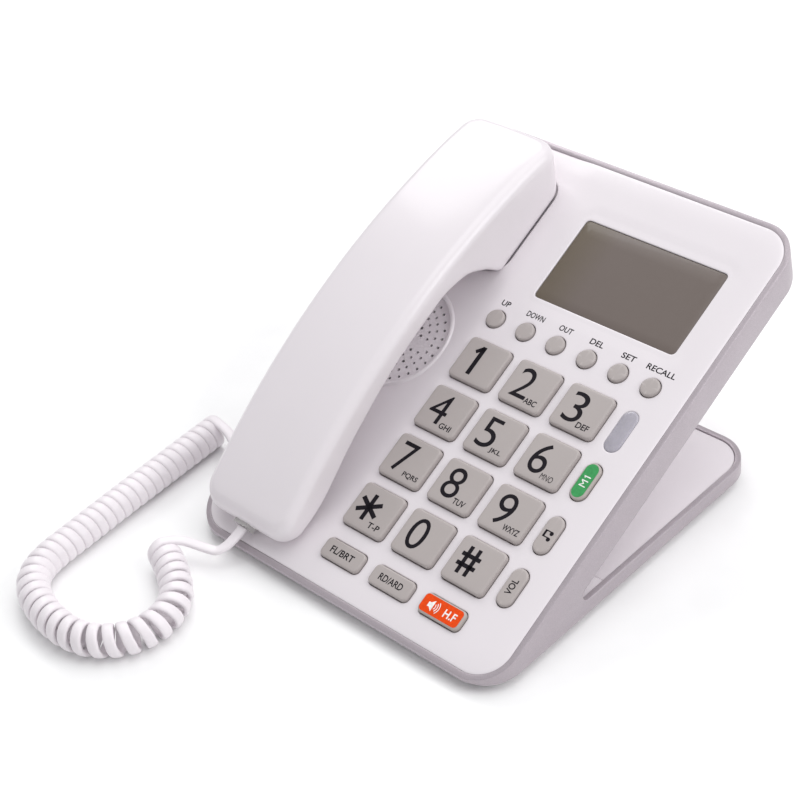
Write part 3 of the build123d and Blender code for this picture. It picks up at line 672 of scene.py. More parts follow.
def make_cord():
    """One flat cord from the base, round its coil and on into the handset."""
    coil = coil_path()
    entry = on_face(HANDSET_X, 6.1, HANDSET_JACK_N) / MM
    below = on_face(HANDSET_X, -6.5, HANDSET_JACK_N) / MM
    last = coil[-1][0]
    handset_lead = [tuple(last), (-69.0, -113.4, 11.8), (-60.0, -108.8, 8.8), tuple(below), tuple(entry)]
    path = lead_path(BASE_LEAD)[:-1] + coil + lead_path(handset_lead)[1:]
    section = flat_section()
    points = []
    for index, (place, outward) in enumerate(path):
        ahead = (path[min(index + 1, len(path) - 1)][0] - path[max(index - 1, 0)][0]).normalized()
        out = (outward - ahead * outward.dot(ahead)).normalized()
        side = ahead.cross(out)
        points += [place + side * across + out * thick for across, thick in section]
    faces = banded(len(path), SECTION_CORNERS)
    cord = add_piece("curly_cord", points, faces, FINISHES["cord"], None, PLACE_DESK, 60)
    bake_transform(cord)
    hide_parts("cord_coil", "cord_lead_base", "cord_lead_handset")


# ---------------------------------------------------------------- controls on the face
KEY_SIZE = (20.4, 18.9)
KEY_CORNER = 2.1
KEY_PROUD = 2.5
KEY_FIRST_X = -7.1
KEY_LAST_Y = 37.7
KEY_PITCH_X = 25.5
KEY_PITCH_Y = 23.8
KEY_BOTTOM = -3.4
KEY_CROWN = 0.05
FUNCTION_SIZE = (19.8, 8.4)
FUNCTION_CORNER = 2.2
FUNCTION_PROUD = 2.0
FUNCTION_Y = 17.1
ROUND_SIZE = (7.9, 7.9)
ROUND_PROUD = 1.6
ROUND_FIRST_X = -14.5
ROUND_PITCH = 15.3
ROUND_Y = 129.0
PILL_SIZE = (7.0, 16.0)
PILL_PROUD = 1.6
PILL_X = 62.4
LAMP_SIZE = (7.1, 18.4)
LAMP_Y = 108.7
HOLE_GAP = 0.35
KEY_LEGENDS = [
    [("key_1", "1", ""), ("key_2", "2", "ABC"), ("key_3", "3", "DEF")],
    [("key_4", "4", "GHI"), ("key_5", "5", "JKL"), ("key_6", "6", "MNO")],
    [("key_7", "7", "PQRS"), ("key_8", "8", "TUV"), ("key_9", "9", "WXYZ")],
    [("key_star", "*", "T-P"), ("key_0", "0", ""), ("key_hash", "#", "")],
]
KEYS = {}
for row, names in enumerate(KEY_LEGENDS):
    for column, (name, digit, letters) in enumerate(names):
        spot = (KEY_FIRST_X + column * KEY_PITCH_X, KEY_LAST_Y + (3 - row) * KEY_PITCH_Y)
        KEYS[name] = (spot, digit, letters)
FUNCTION_KEYS = {
    "key_flash": ((KEY_FIRST_X, FUNCTION_Y), "FL/BRT"),
    "key_redial": ((KEY_FIRST_X + KEY_PITCH_X, FUNCTION_Y), "RD/ARD"),
    "key_handsfree": ((KEY_FIRST_X + 2 * KEY_PITCH_X, FUNCTION_Y), "H.F"),
}
ROUND_LABELS = ["UP", "DOWN", "OUT", "DEL", "SET", "RECALL"]
ROUND_NAMES = ["button_up", "button_down", "button_out", "button_delete", "button_set", "button_recall"]
ROUND_BUTTONS = {n: (ROUND_FIRST_X + i * ROUND_PITCH, ROUND_Y) for i, n in enumerate(ROUND_NAMES)}
PILLS = {"button_memory": (PILL_X, 85.3), "button_ringer": (PILL_X, 61.0), "button_volume": (PILL_X, 37.5)}
PANE_LEVEL = -0.15
WINDOW = ((27.7, 163.9), (68.8, 39.0), 2.0)
GRILLE_CENTRE = (-52.0, 107.1)
GRILLE_RADIUS = 23.1
GRILLE_RING = 2.0
GRILLE_RECESS = 1.4
SEAT = ((GRIP_X, 170.6), (48.4, 48.0), 9.2)
SEAT_FLOOR = -2.0
PLUNGER = ((HANDSET_X, 190.0), (9.8, 5.8), 1.5)

PANEL_THICKNESS = 2.0
PANEL_RISE = 0.5
EDGE_ROLL = 8.5
EDGE_DROP = 0.5
LIP_ROLL = 0.9
LIP_DROP = 0.15
PANEL_GAP = 0.08
PANEL_INSETS = [0.2, 0.45, 0.9, 1.8, 3.0, 4.6, 6.4, 8.5]
HOLE_GROWTHS = [0.1, 0.22, 0.4, 0.9, 1.4, 2.0, 2.8]
PANEL_SPACING = 2.2
VALLEY_DEPTH = 1.7
SURROUND_WIDTH = 4.2
SURROUND_DROP = 0.22
HOLE_EASE = 0.4
HOLE_DROP = 0.22
RING_RISE = 0.62
RING_DROP = 0.12
RING_EASE = 0.3

LAMP_GAP = 0.05
SEAT_THICKNESS = 1.4
PANE_THICKNESS = 0.9
PANE_GAP = 0.2
PANE_EDGE_WIDTH = 0.3
PANE_EDGE_DROP = 0.12
FLAT_SPACING = 4.0


def ease(t):
    """0 to 1, starting and ending gently."""
    t = max(0.0, min(1.0, t))
    return t * t * (3 - 2 * t)


def panel_border():
    """Outline of the white panel inside the silver rim: centre, size and corner radius."""
    size = (WIDTH - 2 * RIM - 2 * PANEL_GAP, FACE_LENGTH - 2 * RIM - 2 * PANEL_GAP)
    return ((0, FACE_LENGTH / 2), size, CORNER - RIM - PANEL_GAP)


def control_openings():
    """Every hole in the panel that a key, button, lamp or window fills."""
    kinds = [
        ([spot for spot, _, _ in KEYS.values()], KEY_SIZE, KEY_CORNER),
        ([spot for spot, _ in FUNCTION_KEYS.values()], FUNCTION_SIZE, FUNCTION_CORNER),
        (ROUND_BUTTONS.values(), ROUND_SIZE, ROUND_SIZE[0] / 2),
        (PILLS.values(), PILL_SIZE, PILL_SIZE[0] / 2),
    ]
    openings = []
    for spots, (width, tall), corner in kinds:
        size = (width + 2 * HOLE_GAP, tall + 2 * HOLE_GAP)
        openings += [(spot, size, corner + HOLE_GAP) for spot in spots]
    lamp_hole = (LAMP_SIZE[0] + 2 * LAMP_GAP, LAMP_SIZE[1] + 2 * LAMP_GAP)
    openings.append(((PILL_X, LAMP_Y), lamp_hole, LAMP_SIZE[0] / 2 + LAMP_GAP))
    openings.append(WINDOW)
    return openings


PANEL_BORDER = panel_border()
OPENINGS = control_openings()


def valley(x, y):
    """Depth of the soft trough that the handset lies in."""
    across = ease((-18.5 - x) / 12.5) * ease((x + 79.5) / 7)
    along = ease((y - 9) / 24) * (1 - 0.72 * ease((y - 138) / 22))
    return VALLEY_DEPTH * across * along


def panel_height(x, y):
    """Height of the white panel: rolled down at its edge, sunk under the handset, eased at each hole."""
    edge = -outside(x, y, PANEL_BORDER)
    height = PANEL_RISE - EDGE_DROP * (1 - min(edge / EDGE_ROLL, 1)) ** 2
    height -= LIP_DROP * (1 - min(edge / LIP_ROLL, 1)) ** 2
    height -= valley(x, y)
    surround = outside(x, y, WINDOW) - SURROUND_WIDTH
    height -= SURROUND_DROP * (1 - ease(surround + 0.5))
    for opening in OPENINGS + [SEAT]:
        near = outside(x, y, opening)
        if near < HOLE_EASE:
            height -= HOLE_DROP * (1 - max(near, 0) / HOLE_EASE) ** 2
    ring = (hypot(x - GRILLE_CENTRE[0], y - GRILLE_CENTRE[1]) - GRILLE_RADIUS) / GRILLE_RING
    if 0 <= ring <= 1.001:
        height += RING_RISE * sqrt(max(0.0, sin(min(ring, 1) * pi)))
    elif ring > 1:
        height -= RING_DROP * (1 - min((ring - 1) / RING_EASE, 1))
    return height


def level_at(n):
    """A surface that is level at height n."""
    return lambda x, y: n


def make_panel():
    """The white face of the base, with its trough, holes and raised grille ring."""
    disc = (GRILLE_CENTRE, (2 * GRILLE_RADIUS, 2 * GRILLE_RADIUS), GRILLE_RADIUS)
    openings = OPENINGS + [SEAT]
    points, faces = slab(
        PANEL_BORDER,
        openings + [disc],
        PANEL_INSETS,
        HOLE_GROWTHS,
        PANEL_SPACING,
        panel_height,
        PANEL_THICKNESS,
    )
    panel = add_piece("face_moulding", points, faces, FINISHES["white_shell"], "base")
    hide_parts("face_panel")
    centre, (width, tall), corner = SEAT
    tray = (centre, (width + 1.6, tall + 1.2), corner + 0.6)
    floor = level_at(SEAT_FLOOR - 0.3)
    points, faces = slab(tray, [PLUNGER], [1.0], [0.3], FLAT_SPACING, floor, SEAT_THICKNESS)
    add_piece("ear_seat", points, faces, FINISHES["white_shell"], "base")
    centre, (width, tall), corner = WINDOW
    pane = (centre, (width - 2 * PANE_GAP, tall - 2 * PANE_GAP), corner - PANE_GAP)
    points, faces = slab(pane, [], [0.12, PANE_EDGE_WIDTH], [], FLAT_SPACING, pane_height, PANE_THICKNESS)
    display = add_piece("display_pane", points, faces, FINISHES["lcd"], "base")
    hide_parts("lcd_lens", "lcd_glass")


def pane_height(x, y):
    """Height of the display pane, with a fine softened edge."""
    edge = outside(x, y, WINDOW) + PANE_GAP
    return PANE_LEVEL - PANE_EDGE_DROP * (1 - ease(-edge / PANE_EDGE_WIDTH))


# ---------------------------------------------------------------- repeated work: holes and screws
def new_tree(name, sizes):
    """A node tree that takes geometry, the named sizes and a material, and what it is given."""
    tree = bpy.data.node_groups.new(name, "GeometryNodeTree")
    for label, kind, default in [("Geometry", "Geometry", None), *sizes, ("Material", "Material", None)]:
        socket = tree.interface.new_socket(name=label, in_out="INPUT", socket_type="NodeSocket" + kind)
        if default is not None:
            socket.default_value = default
    tree.interface.new_socket(name="Geometry", in_out="OUTPUT", socket_type="NodeSocketGeometry")
    return tree, tree.nodes.new("NodeGroupInput").outputs


def end_tree(tree, geometry, given):
    """Ends a tree: copies made real and given their material."""
    real = wired(tree, "GeometryNodeRealizeInstances", {"Geometry": geometry}).outputs["Geometry"]
    links = {"Geometry": real, "Material": given["Material"]}
    coated = wired(tree, "GeometryNodeSetMaterial", links).outputs["Geometry"]
    wired(tree, "NodeGroupOutput", {"Geometry": coated})


def shaped(tree, geometry, links=None, values=None):
    """Geometry moved or turned by linked or fixed amounts."""
    links = {"Geometry": geometry, **(links or {})}
    return wired(tree, "GeometryNodeTransform", links, values).outputs["Geometry"]


def rod(tree, radius, depth, sides):
    """A round rod along z."""
    links = {"Radius": radius, "Depth": depth}
    return wired(tree, "GeometryNodeMeshCylinder", links, {"Vertices": sides}).outputs["Mesh"]


def copies_at(tree, places, thing):
    """A copy of a thing at each place."""
    links = {"Points": places, "Instance": thing}
    return wired(tree, "GeometryNodeInstanceOnPoints", links).outputs["Instances"]


def cut_out(tree, body, tool):
    """A body with a tool's shape cut out of it."""
    links = {"Mesh 1": body, "Mesh 2": tool}
    return wired(tree, "GeometryNodeMeshBoolean", links, operation="DIFFERENCE").outputs["Mesh"]


def set_inputs(modifier, tree, values):
    """Sets a node modifier's inputs by the names that its tree gives them."""
    for item in tree.interface.items_tree:
        if item.in_out == "INPUT" and item.name in values:
            modifier[item.identifier] = values[item.name]


def ring_holes_tree():
    """Cuts a ring of small round holes through the geometry it is given."""
    sizes = [
        ("Ring radius", "Float", 0.01),
        ("Holes", "Int", 8),
        ("Turn", "Float", 0.0),
        ("Hole radius", "Float", 0.0006),
        ("Depth", "Float", 0.01),
        ("Centre", "Vector", (0, 0, 0)),
        ("Tilt", "Float", 0.0),
    ]
    tree, given = new_tree("ring_of_holes", sizes)
    ring_size = {"Vertices": given["Holes"], "Radius": given["Ring radius"]}
    ring = wired(tree, "GeometryNodeMeshCircle", ring_size).outputs["Mesh"]
    drill = rod(tree, given["Hole radius"], given["Depth"], 12)
    spin = wired(tree, "ShaderNodeCombineXYZ", {"Z": given["Turn"]}).outputs["Vector"]
    turned = shaped(tree, copies_at(tree, ring, drill), {"Rotation": spin})
    lean = wired(tree, "ShaderNodeCombineXYZ", {"X": given["Tilt"]}).outputs["Vector"]
    placed = shaped(tree, turned, {"Translation": given["Centre"], "Rotation": lean})
    drills = wired(tree, "GeometryNodeRealizeInstances", {"Geometry": placed}).outputs["Geometry"]
    end_tree(tree, cut_out(tree, given["Geometry"], drills), given)
    return tree


def drilled(thing, tree, centre, rings, hole_radius, depth, material):
    """The mesh of a working object after rings of holes are cut in it."""
    for index, (radius, count, phase) in enumerate(rings):
        modifier = thing.modifiers.new(f"ring_{index}", "NODES")
        modifier.node_group = tree
        values = {
            "Ring radius": radius * MM,
            "Holes": count,
            "Turn": phase * tau / count,
            "Hole radius": hole_radius * MM,
            "Depth": depth * MM,
            "Centre": centre,
            "Tilt": TILT,
            "Material": material,
        }
        set_inputs(modifier, tree, values)
    mesh = baked(thing)
    drop(thing)
    return mesh


GRILLE_RINGS = [(20.45, 32, 0.5), (17.1, 32, 0.5), (13.8, 26, 0), (10.45, 18, 0), (7.1, 12, 0), (3.75, 6, 0)]
HOLE_RADIUS = 0.62
DRILL_DEPTH = 4
CLOTH_RADIUS = 21


def make_grille(tree):
    """The sunk loudspeaker disc with its rings of holes, and the dark cloth behind them."""
    level = PANEL_RISE - VALLEY_DEPTH - GRILLE_RECESS
    radius = GRILLE_RADIUS + 0.15
    rings = [(0, level - 1.2), (0, level - 0.3), (0.3, level)]
    points, faces = stacked(GRILLE_CENTRE, (2 * radius, 2 * radius), radius, rings)
    mesh = bpy.data.meshes.new("disc")
    mesh.from_pydata([PLACE_FACE @ Vector(p) for p in points], [], faces)
    disc = loose_object("disc", mesh)
    white = FINISHES["white_shell"]
    middle = on_face(*GRILLE_CENTRE, level)
    mesh = drilled(disc, tree, middle, GRILLE_RINGS, HOLE_RADIUS, DRILL_DEPTH, white)
    add_mesh("speaker_grille", mesh, white, "base", 30)
    cloth = [(0, level - 1.5), (0, level - 1.25)]
    points, faces = stacked(GRILLE_CENTRE, (2 * CLOTH_RADIUS, 2 * CLOTH_RADIUS), CLOTH_RADIUS, cloth)
    add_piece("speaker_cloth", points, faces, FINISHES["black"], "base")


# ---------------------------------------------------------------- keys
KEY_SHOULDER = 0.85
FUNCTION_SHOULDER = 0.75
BUTTON_SHOULDER = 0.7
LAMP_RINGS = [(0, -2.4), (0, 0.3), (0.15, 0.55), (0.45, 0.7), (1.2, 0.78)]


def cap_rings(proud, edge):
    """Side, rounded shoulder and very slightly crowned top of a key."""
    rings = [(0, KEY_BOTTOM), (0, proud - edge)]
    for i in range(1, 6):
        angle = i / 5 * pi / 2
        rings.append((edge * (1 - cos(angle)), proud - edge * (1 - sin(angle))))
    rings += [(edge + 0.5, proud + 0.03), (edge + 1.2, proud + KEY_CROWN)]
    return rings


def make_caps():
    """Every key and button, each on its own body."""
    groups = [
        (KEYS, KEY_SIZE, KEY_CORNER, KEY_PROUD, KEY_SHOULDER),
        (FUNCTION_KEYS, FUNCTION_SIZE, FUNCTION_CORNER, FUNCTION_PROUD, FUNCTION_SHOULDER),
    ]
    for keys, size, corner, proud, edge in groups:
        for name, (spot, *_) in keys.items():
            add_cap(name, spot, size, corner, proud, edge)
    for name, spot in ROUND_BUTTONS.items():
        add_cap(name, spot, ROUND_SIZE, ROUND_SIZE[0] / 2, ROUND_PROUD, BUTTON_SHOULDER)
    for name, spot in PILLS.items():
        add_cap(name, spot, PILL_SIZE, PILL_SIZE[0] / 2, PILL_PROUD, BUTTON_SHOULDER)


def add_cap(name, spot, size, corner, proud, edge):
    """One key or button."""
    finish = {"key_handsfree": "orange_key", "button_memory": "green_key"}.get(name, "grey_key")
    points, faces = stacked(spot, size, corner, cap_rings(proud, edge))
    cap = add_piece(name + "_cap", points, faces, FINISHES[finish], name)
    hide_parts(name)


def make_lamp():
    """The frosted lamp cover beside the keys."""
    points, faces = stacked((PILL_X, LAMP_Y), LAMP_SIZE, LAMP_SIZE[0] / 2, LAMP_RINGS)
    lamp = add_piece("lamp_cover", points, faces, FINISHES["lamp_lens"], "base")
    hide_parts("led_lens")


# ---------------------------------------------------------------- printed legends
INK = 0.02


def lettering(text, cap_height, width, heavy=0.0):
    """Flat lettering centred on 0, 0, cap_height tall and width wide, as points and faces."""
    data = bpy.data.curves.new("lettering", "FONT")
    data.body = text
    data.offset = heavy
    data.resolution_u = 6
    holder = bpy.data.objects.new("lettering", data)
    mesh = bpy.data.meshes.new_from_object(holder)
    low_x = min(v.co.x for v in mesh.vertices)
    high_x = max(v.co.x for v in mesh.vertices)
    low_y = min(v.co.y for v in mesh.vertices)
    high_y = max(v.co.y for v in mesh.vertices)
    points = []
    for v in mesh.vertices:
        x = ((v.co.x - low_x) / (high_x - low_x) - 0.5) * width
        y = ((v.co.y - low_y) / (high_y - low_y) - 0.5) * cap_height
        points.append((x, y))
    faces = [tuple(p.vertices) for p in mesh.polygons]
    bpy.data.objects.remove(holder)
    return points, faces


def bars(*strokes):
    """Straight strokes (x0, y0, x1, y1, width) as points and faces."""
    points, faces = [], []
    for x0, y0, x1, y1, width in strokes:
        along = Vector((x1 - x0, y1 - y0)).normalized()
        side = Vector((-along.y, along.x)) * width / 2
        start = len(points)
        for x, y, sign in ((x0, y0, -1), (x1, y1, -1), (x1, y1, 1), (x0, y0, 1)):
            points.append((x + sign * side.x, y + sign * side.y))
        faces.append(tuple(range(start, start + 4)))
    return points, faces


def arc(radius, start, end, width, centre=(0, 0)):
    """A curved stroke as points and faces."""
    points, faces = [], []
    steps = 12
    for i in range(steps + 1):
        angle = radians(start + (end - start) * i / steps)
        for r in (radius - width / 2, radius + width / 2):
            points.append((centre[0] + r * cos(angle), centre[1] + r * sin(angle)))
    for i in range(steps):
        a = 2 * i
        faces.append((a, a + 1, a + 3, a + 2))
    return points, faces


def moved(shape, dx, dy, turn=0.0):
    """A flat shape turned by turn degrees and then moved."""
    points, faces = shape
    c, s = cos(radians(turn)), sin(radians(turn))
    return [(x * c - y * s + dx, x * s + y * c + dy) for x, y in points], faces


def joined(*shapes):
    """Several flat shapes as one."""
    points, faces = [], []
    for shape_points, shape_faces in shapes:
        start = len(points)
        points += shape_points
        faces += [tuple(i + start for i in face) for face in shape_faces]
    return points, faces


def printed(name, shape, spot, level, ink, body):
    """A thin printed layer on the face or on a key."""
    points, faces = shape
    solid = [(x + spot[0], y + spot[1], level(x + spot[0], y + spot[1]) + INK) for x, y in points]
    mesh = bpy.data.meshes.new(name)
    mesh.from_pydata([PLACE_FACE @ Vector(p) for p in solid], [], faces)
    outward = PLACE_FACE.to_3x3() @ Vector((0, 0, 1))
    shape = bmesh.new()
    shape.from_mesh(mesh)
    bmesh.ops.remove_doubles(shape, verts=shape.verts, dist=0.000001)
    for face in shape.faces:
        face.normal_update()
        if face.normal.dot(outward) < 0:
            face.normal_flip()
    shape.to_mesh(mesh)
    shape.free()
    return add_mesh(name, mesh, ink, body)


DIGIT_HEIGHT = 13.0
DIGIT_SHIFT = (-2.3, 0.2)
DIGIT_HEAVY = -0.003
SMALL_HEAVY = 0.018
DIGIT_WIDTHS = {"2": 7.9, "3": 7.9, "4": 8.4, "5": 7.9, "6": 7.9, "7": 7.7, "8": 7.9, "9": 7.9, "0": 8.1}
LETTER_HEIGHT = 2.5
LETTER_SHIFT = (4.7, -5.9)
STAR_ARM = 5.7
STAR_STROKE = 1.9
HASH_REACH = (4.4, 5.8)
HASH_SPREAD = (1.9, 2.0)
HASH_STROKE = 1.7
WORD_HEIGHT = 2.9
BUTTON_WORD_HEIGHT = 2.5
BUTTON_WORD_SHIFT = (-0.1, 7.7)
TOP_LAYER = 0.04
MARK_LAYER = 0.07


def digit_shape(digit, height):
    """One figure of the given height, the 1 with a flag on its stem."""
    if digit != "1":
        return lettering(digit, height, DIGIT_WIDTHS[digit] * height / DIGIT_HEIGHT, DIGIT_HEAVY)
    tall, thick = height / 2, height * 0.155
    stem = (0.6, -tall, 0.6, tall, thick)
    flag = (0.6 - tall * 0.42, tall * 0.5, 0.7, tall * 0.92, thick * 0.85)
    return bars(stem, flag)


def star_shape():
    """The six-armed star."""
    strokes = []
    for turn in (90, 30, -30):
        x, y = STAR_ARM * cos(radians(turn)), STAR_ARM * sin(radians(turn))
        strokes.append((-x, -y, x, y, STAR_STROKE))
    return bars(*strokes)


def hash_shape():
    """The hash, with heavy strokes."""
    (reach_x, reach_y), (x, y) = HASH_REACH, HASH_SPREAD
    upright = [(side * x, -reach_y, side * x, reach_y, HASH_STROKE) for side in (-1, 1)]
    level = [(-reach_x, side * y, reach_x, side * y, HASH_STROKE) for side in (-1, 1)]
    return bars(*upright, *level)


def speaker_shape():
    """A small loudspeaker with three sound waves."""
    box = bars((-2.9, 0, -1.9, 0, 1.9))
    horn = ([(-1.9, -0.95), (-0.4, -2.3), (-0.4, 2.3), (-1.9, 0.95)], [(0, 1, 2, 3)])
    waves = [arc(r, -42, 42, 0.34, (-0.9, 0)) for r in (1.5, 2.4, 3.3)]
    return joined(box, horn, *waves)


def note_shape():
    """Two joined music notes."""
    stems = bars((-1.2, -1.1, -1.2, 1.7, 0.45), (1.3, -1.1, 1.3, 1.7, 0.45), (-1.42, 1.45, 1.52, 1.45, 0.9))
    heads = [arc(0.42, 0, 360, 0.84, (x, -1.2)) for x in (-1.75, 0.75)]
    return joined(stems, *heads)


def make_legends():
    """Every printed mark, each on the key or panel that carries it."""
    for name, (spot, digit, letters) in KEYS.items():
        signs = {"*": star_shape, "#": hash_shape}
        shape = signs[digit]() if digit in signs else digit_shape(digit, DIGIT_HEIGHT)
        shape = moved(shape, *DIGIT_SHIFT)
        if letters:
            heavy = 0.0 if "M" in letters else SMALL_HEAVY
            small = lettering(letters, LETTER_HEIGHT, 1.8 * len(letters) + 0.3, heavy)
            shift = LETTER_SHIFT[0] + 0.25 * (len(letters) - 3)
            shape = joined(shape, moved(small, shift, LETTER_SHIFT[1]))
        printed("legend_" + name, shape, spot, level_at(KEY_PROUD + KEY_CROWN), BLACK_INK, name)
    function_top = level_at(FUNCTION_PROUD + KEY_CROWN)
    pill_top = level_at(PILL_PROUD + KEY_CROWN)
    for name, label in (("key_flash", "FL/BRT"), ("key_redial", "RD/ARD")):
        shape = lettering(label, WORD_HEIGHT, 1.95 * len(label), SMALL_HEAVY)
        printed("legend_" + name, shape, FUNCTION_KEYS[name][0], function_top, BLACK_INK, name)
    for (name, (x, y)), label in zip(ROUND_BUTTONS.items(), ROUND_LABELS):
        shape = lettering(label, BUTTON_WORD_HEIGHT, 2.25 * len(label) - 0.3, SMALL_HEAVY)
        spot = (x + BUTTON_WORD_SHIFT[0], y + BUTTON_WORD_SHIFT[1])
        printed("legend_" + name, shape, spot, panel_height, BLACK_INK, "base")
    volume = moved(lettering("VOL", WORD_HEIGHT, 6.4, SMALL_HEAVY), 0, 0, 90)
    printed("legend_volume", volume, PILLS["button_volume"], pill_top, BLACK_INK, "button_volume")
    notes = moved(note_shape(), 0, 0, 90)
    printed("legend_ringer", notes, PILLS["button_ringer"], pill_top, BLACK_INK, "button_ringer")
    make_coloured_tops()


def make_coloured_tops():
    """The orange and green printed tops with their white marks."""
    orange = outline_shape((FUNCTION_SIZE[0] - 1.3, FUNCTION_SIZE[1] - 1.3), FUNCTION_CORNER - 0.6)
    speaker = moved(speaker_shape(), -3.6, 0)
    name = moved(lettering("H.F", 3.3, 5.6, SMALL_HEAVY), 4.3, -0.1)
    green = outline_shape((PILL_SIZE[0] - 1.5, PILL_SIZE[1] - 1.5), PILL_SIZE[0] / 2 - 0.75)
    letter, figure = lettering("M", WORD_HEIGHT, 2.7), digit_shape("1", WORD_HEIGHT)
    memory = joined(moved(letter, -1.1, 0), moved(figure, 1.2, 0))
    free = (FUNCTION_KEYS["key_handsfree"][0], FUNCTION_PROUD, "key_handsfree", ORANGE_INK)
    kept = (PILLS["button_memory"], PILL_PROUD, "button_memory", GREEN_INK)
    for (spot, proud, body, ink), top, top_name, mark, mark_name in (
        (free, orange, "orange_top", joined(speaker, name), "handsfree_mark"),
        (kept, green, "green_top", moved(memory, 0, 0, 90), "memory_mark"),
    ):
        printed(top_name, moved(top, -0.1, 0.1), spot, level_at(proud + TOP_LAYER), ink, body)
        printed(mark_name, mark, spot, level_at(proud + MARK_LAYER), WHITE_INK, body)


def outline_shape(size, radius):
    """A filled rounded rectangle as one flat face."""
    outline = rounded_outline(size, radius, (0, 0), 0.25)
    clean = []
    for (x, y), (last_x, last_y) in zip(outline, outline[-1:] + outline[:-1]):
        if hypot(x - last_x, y - last_y) > 1e-5:
            clean.append((x, y))
    return clean, [tuple(range(len(clean)))]


# ---------------------------------------------------------------- handset
HANDSET_FRONT = 7.9
HANDSET_BACK = 202.4
HANDSET_CORNER = 9.0
HANDSET_WALL = 1.9
TOP_EDGE = 4.5
CROWN = 0.9
UNDER = [
    (203.0, -1.6),
    (150.0, -1.6),
    (143.5, 7.0),
    (134.0, 15.2),
    (119.0, 18.6),
    (92.0, 17.6),
    (60.0, 12.2),
    (34.0, 4.6),
    (20.0, 0.4),
    (7.0, 0.4),
]
TOP_ARC = [(7.9, 12.6), (112.0, 31.0), (201.0, 19.0)]
EAR_TOP = 19.0
LEAN = 0.42
LEAN_FROM = 158.0
LEAN_RUN = 34.0
HANDSET_BORDER = (
    (GRIP_X, (HANDSET_FRONT + HANDSET_BACK) / 2),
    (HANDSET_WIDTH, HANDSET_BACK - HANDSET_FRONT),
    HANDSET_CORNER,
)


def circle_through(a, b, c):
    """Centre and radius of the circle through three points."""
    (ax, ay), (bx, by), (cx, cy) = a, b, c
    d = 2 * (ax * (by - cy) + bx * (cy - ay) + cx * (ay - by))
    x = ((ax**2 + ay**2) * (by - cy) + (bx**2 + by**2) * (cy - ay) + (cx**2 + cy**2) * (ay - by)) / d
    y = ((ax**2 + ay**2) * (cx - bx) + (bx**2 + by**2) * (ax - cx) + (cx**2 + cy**2) * (bx - ax)) / d
    return x, y, hypot(ax - x, ay - y)


ARC_Y, ARC_N, ARC_RADIUS = circle_through(*TOP_ARC)


def top_line(y):
    """Height of the handset's arched top along its middle."""
    return ARC_N + sqrt(ARC_RADIUS**2 - (y - ARC_Y) ** 2)


def under_line(y):
    """Height of the handset's underside, eased between its guiding places."""
    places = list(reversed(UNDER))
    if y <= places[0][0]:
        return places[0][1]
    if y >= places[-1][0]:
        return places[-1][1]
    slopes = []
    for i, (at, n) in enumerate(places):
        before = places[max(i - 1, 0)]
        after = places[min(i + 1, len(places) - 1)]
        left = (n - before[1]) / (at - before[0]) if i else 0
        right = (after[1] - n) / (after[0] - at) if i < len(places) - 1 else 0
        slopes.append(0 if left * right <= 0 else 2 * left * right / (left + right))
    for i in range(len(places) - 1):
        (y0, n0), (y1, n1) = places[i], places[i + 1]
        if y <= y1:
            h = y1 - y0
            t = (y - y0) / h
            a = (1 + 2 * t) * (1 - t) ** 2 * n0 + t * (1 - t) ** 2 * h * slopes[i]
            return a + t * t * (3 - 2 * t) * n1 + t * t * (t - 1) * h * slopes[i + 1]
    return places[-1][1]


def quarter(distance, radius):
    """Drop of a quarter-round edge at a distance in from it."""
    if distance >= radius:
        return 0.0
    return radius - sqrt(max(0.0, radius**2 - (radius - distance) ** 2))


def under_edge(y):
    """Radius of the handset's lower edge, which is fuller at the mouth end."""
    return 3.4 + 3.4 * ease((34 - y) / 14)


def handset_top(x, y):
    """Height of the handset's upper surface."""
    inset = -outside(x, y, HANDSET_BORDER)
    crown = CROWN * ((x - GRIP_X) / (HANDSET_WIDTH / 2)) ** 2
    return top_line(y) - crown - quarter(inset, TOP_EDGE)


def seam_line(y):
    """Height of the seam between the handset's two shells."""
    return under_line(y) + under_edge(y)


def handset_under(x, y):
    """Height of the handset's lower surface."""
    inset = -outside(x, y, HANDSET_BORDER)
    return under_line(y) + quarter(inset, under_edge(y))


def leaned(place):
    """The same place once the ear end is leaned back so that its rear wall stands upright."""
    x, y, n = place
    return x, y - LEAN * (EAR_TOP - n) * ease((y - LEAN_FROM) / LEAN_RUN), n


def shell(surface, rim, wall_rows):
    """An open skin: a draped surface and the wall from its border to a rim height."""
    points, faces, loops = surface
    points = list(points)
    border = loops[0]
    rows = [border]
    for step in range(1, wall_rows + 1):
        row = []
        for index in border:
            x, y, n = points[index]
            goal = rim(y)
            row.append(len(points))
            points.append((x, y, n + (goal - n) * step / wall_rows))
        rows.append(row)
    faces = list(faces)
    for upper, lower in zip(rows, rows[1:]):
        for i in range(len(border)):
            j = (i + 1) % len(border)
            faces.append((upper[i], lower[i], lower[j], upper[j]))
    return tidy_points(points, faces)


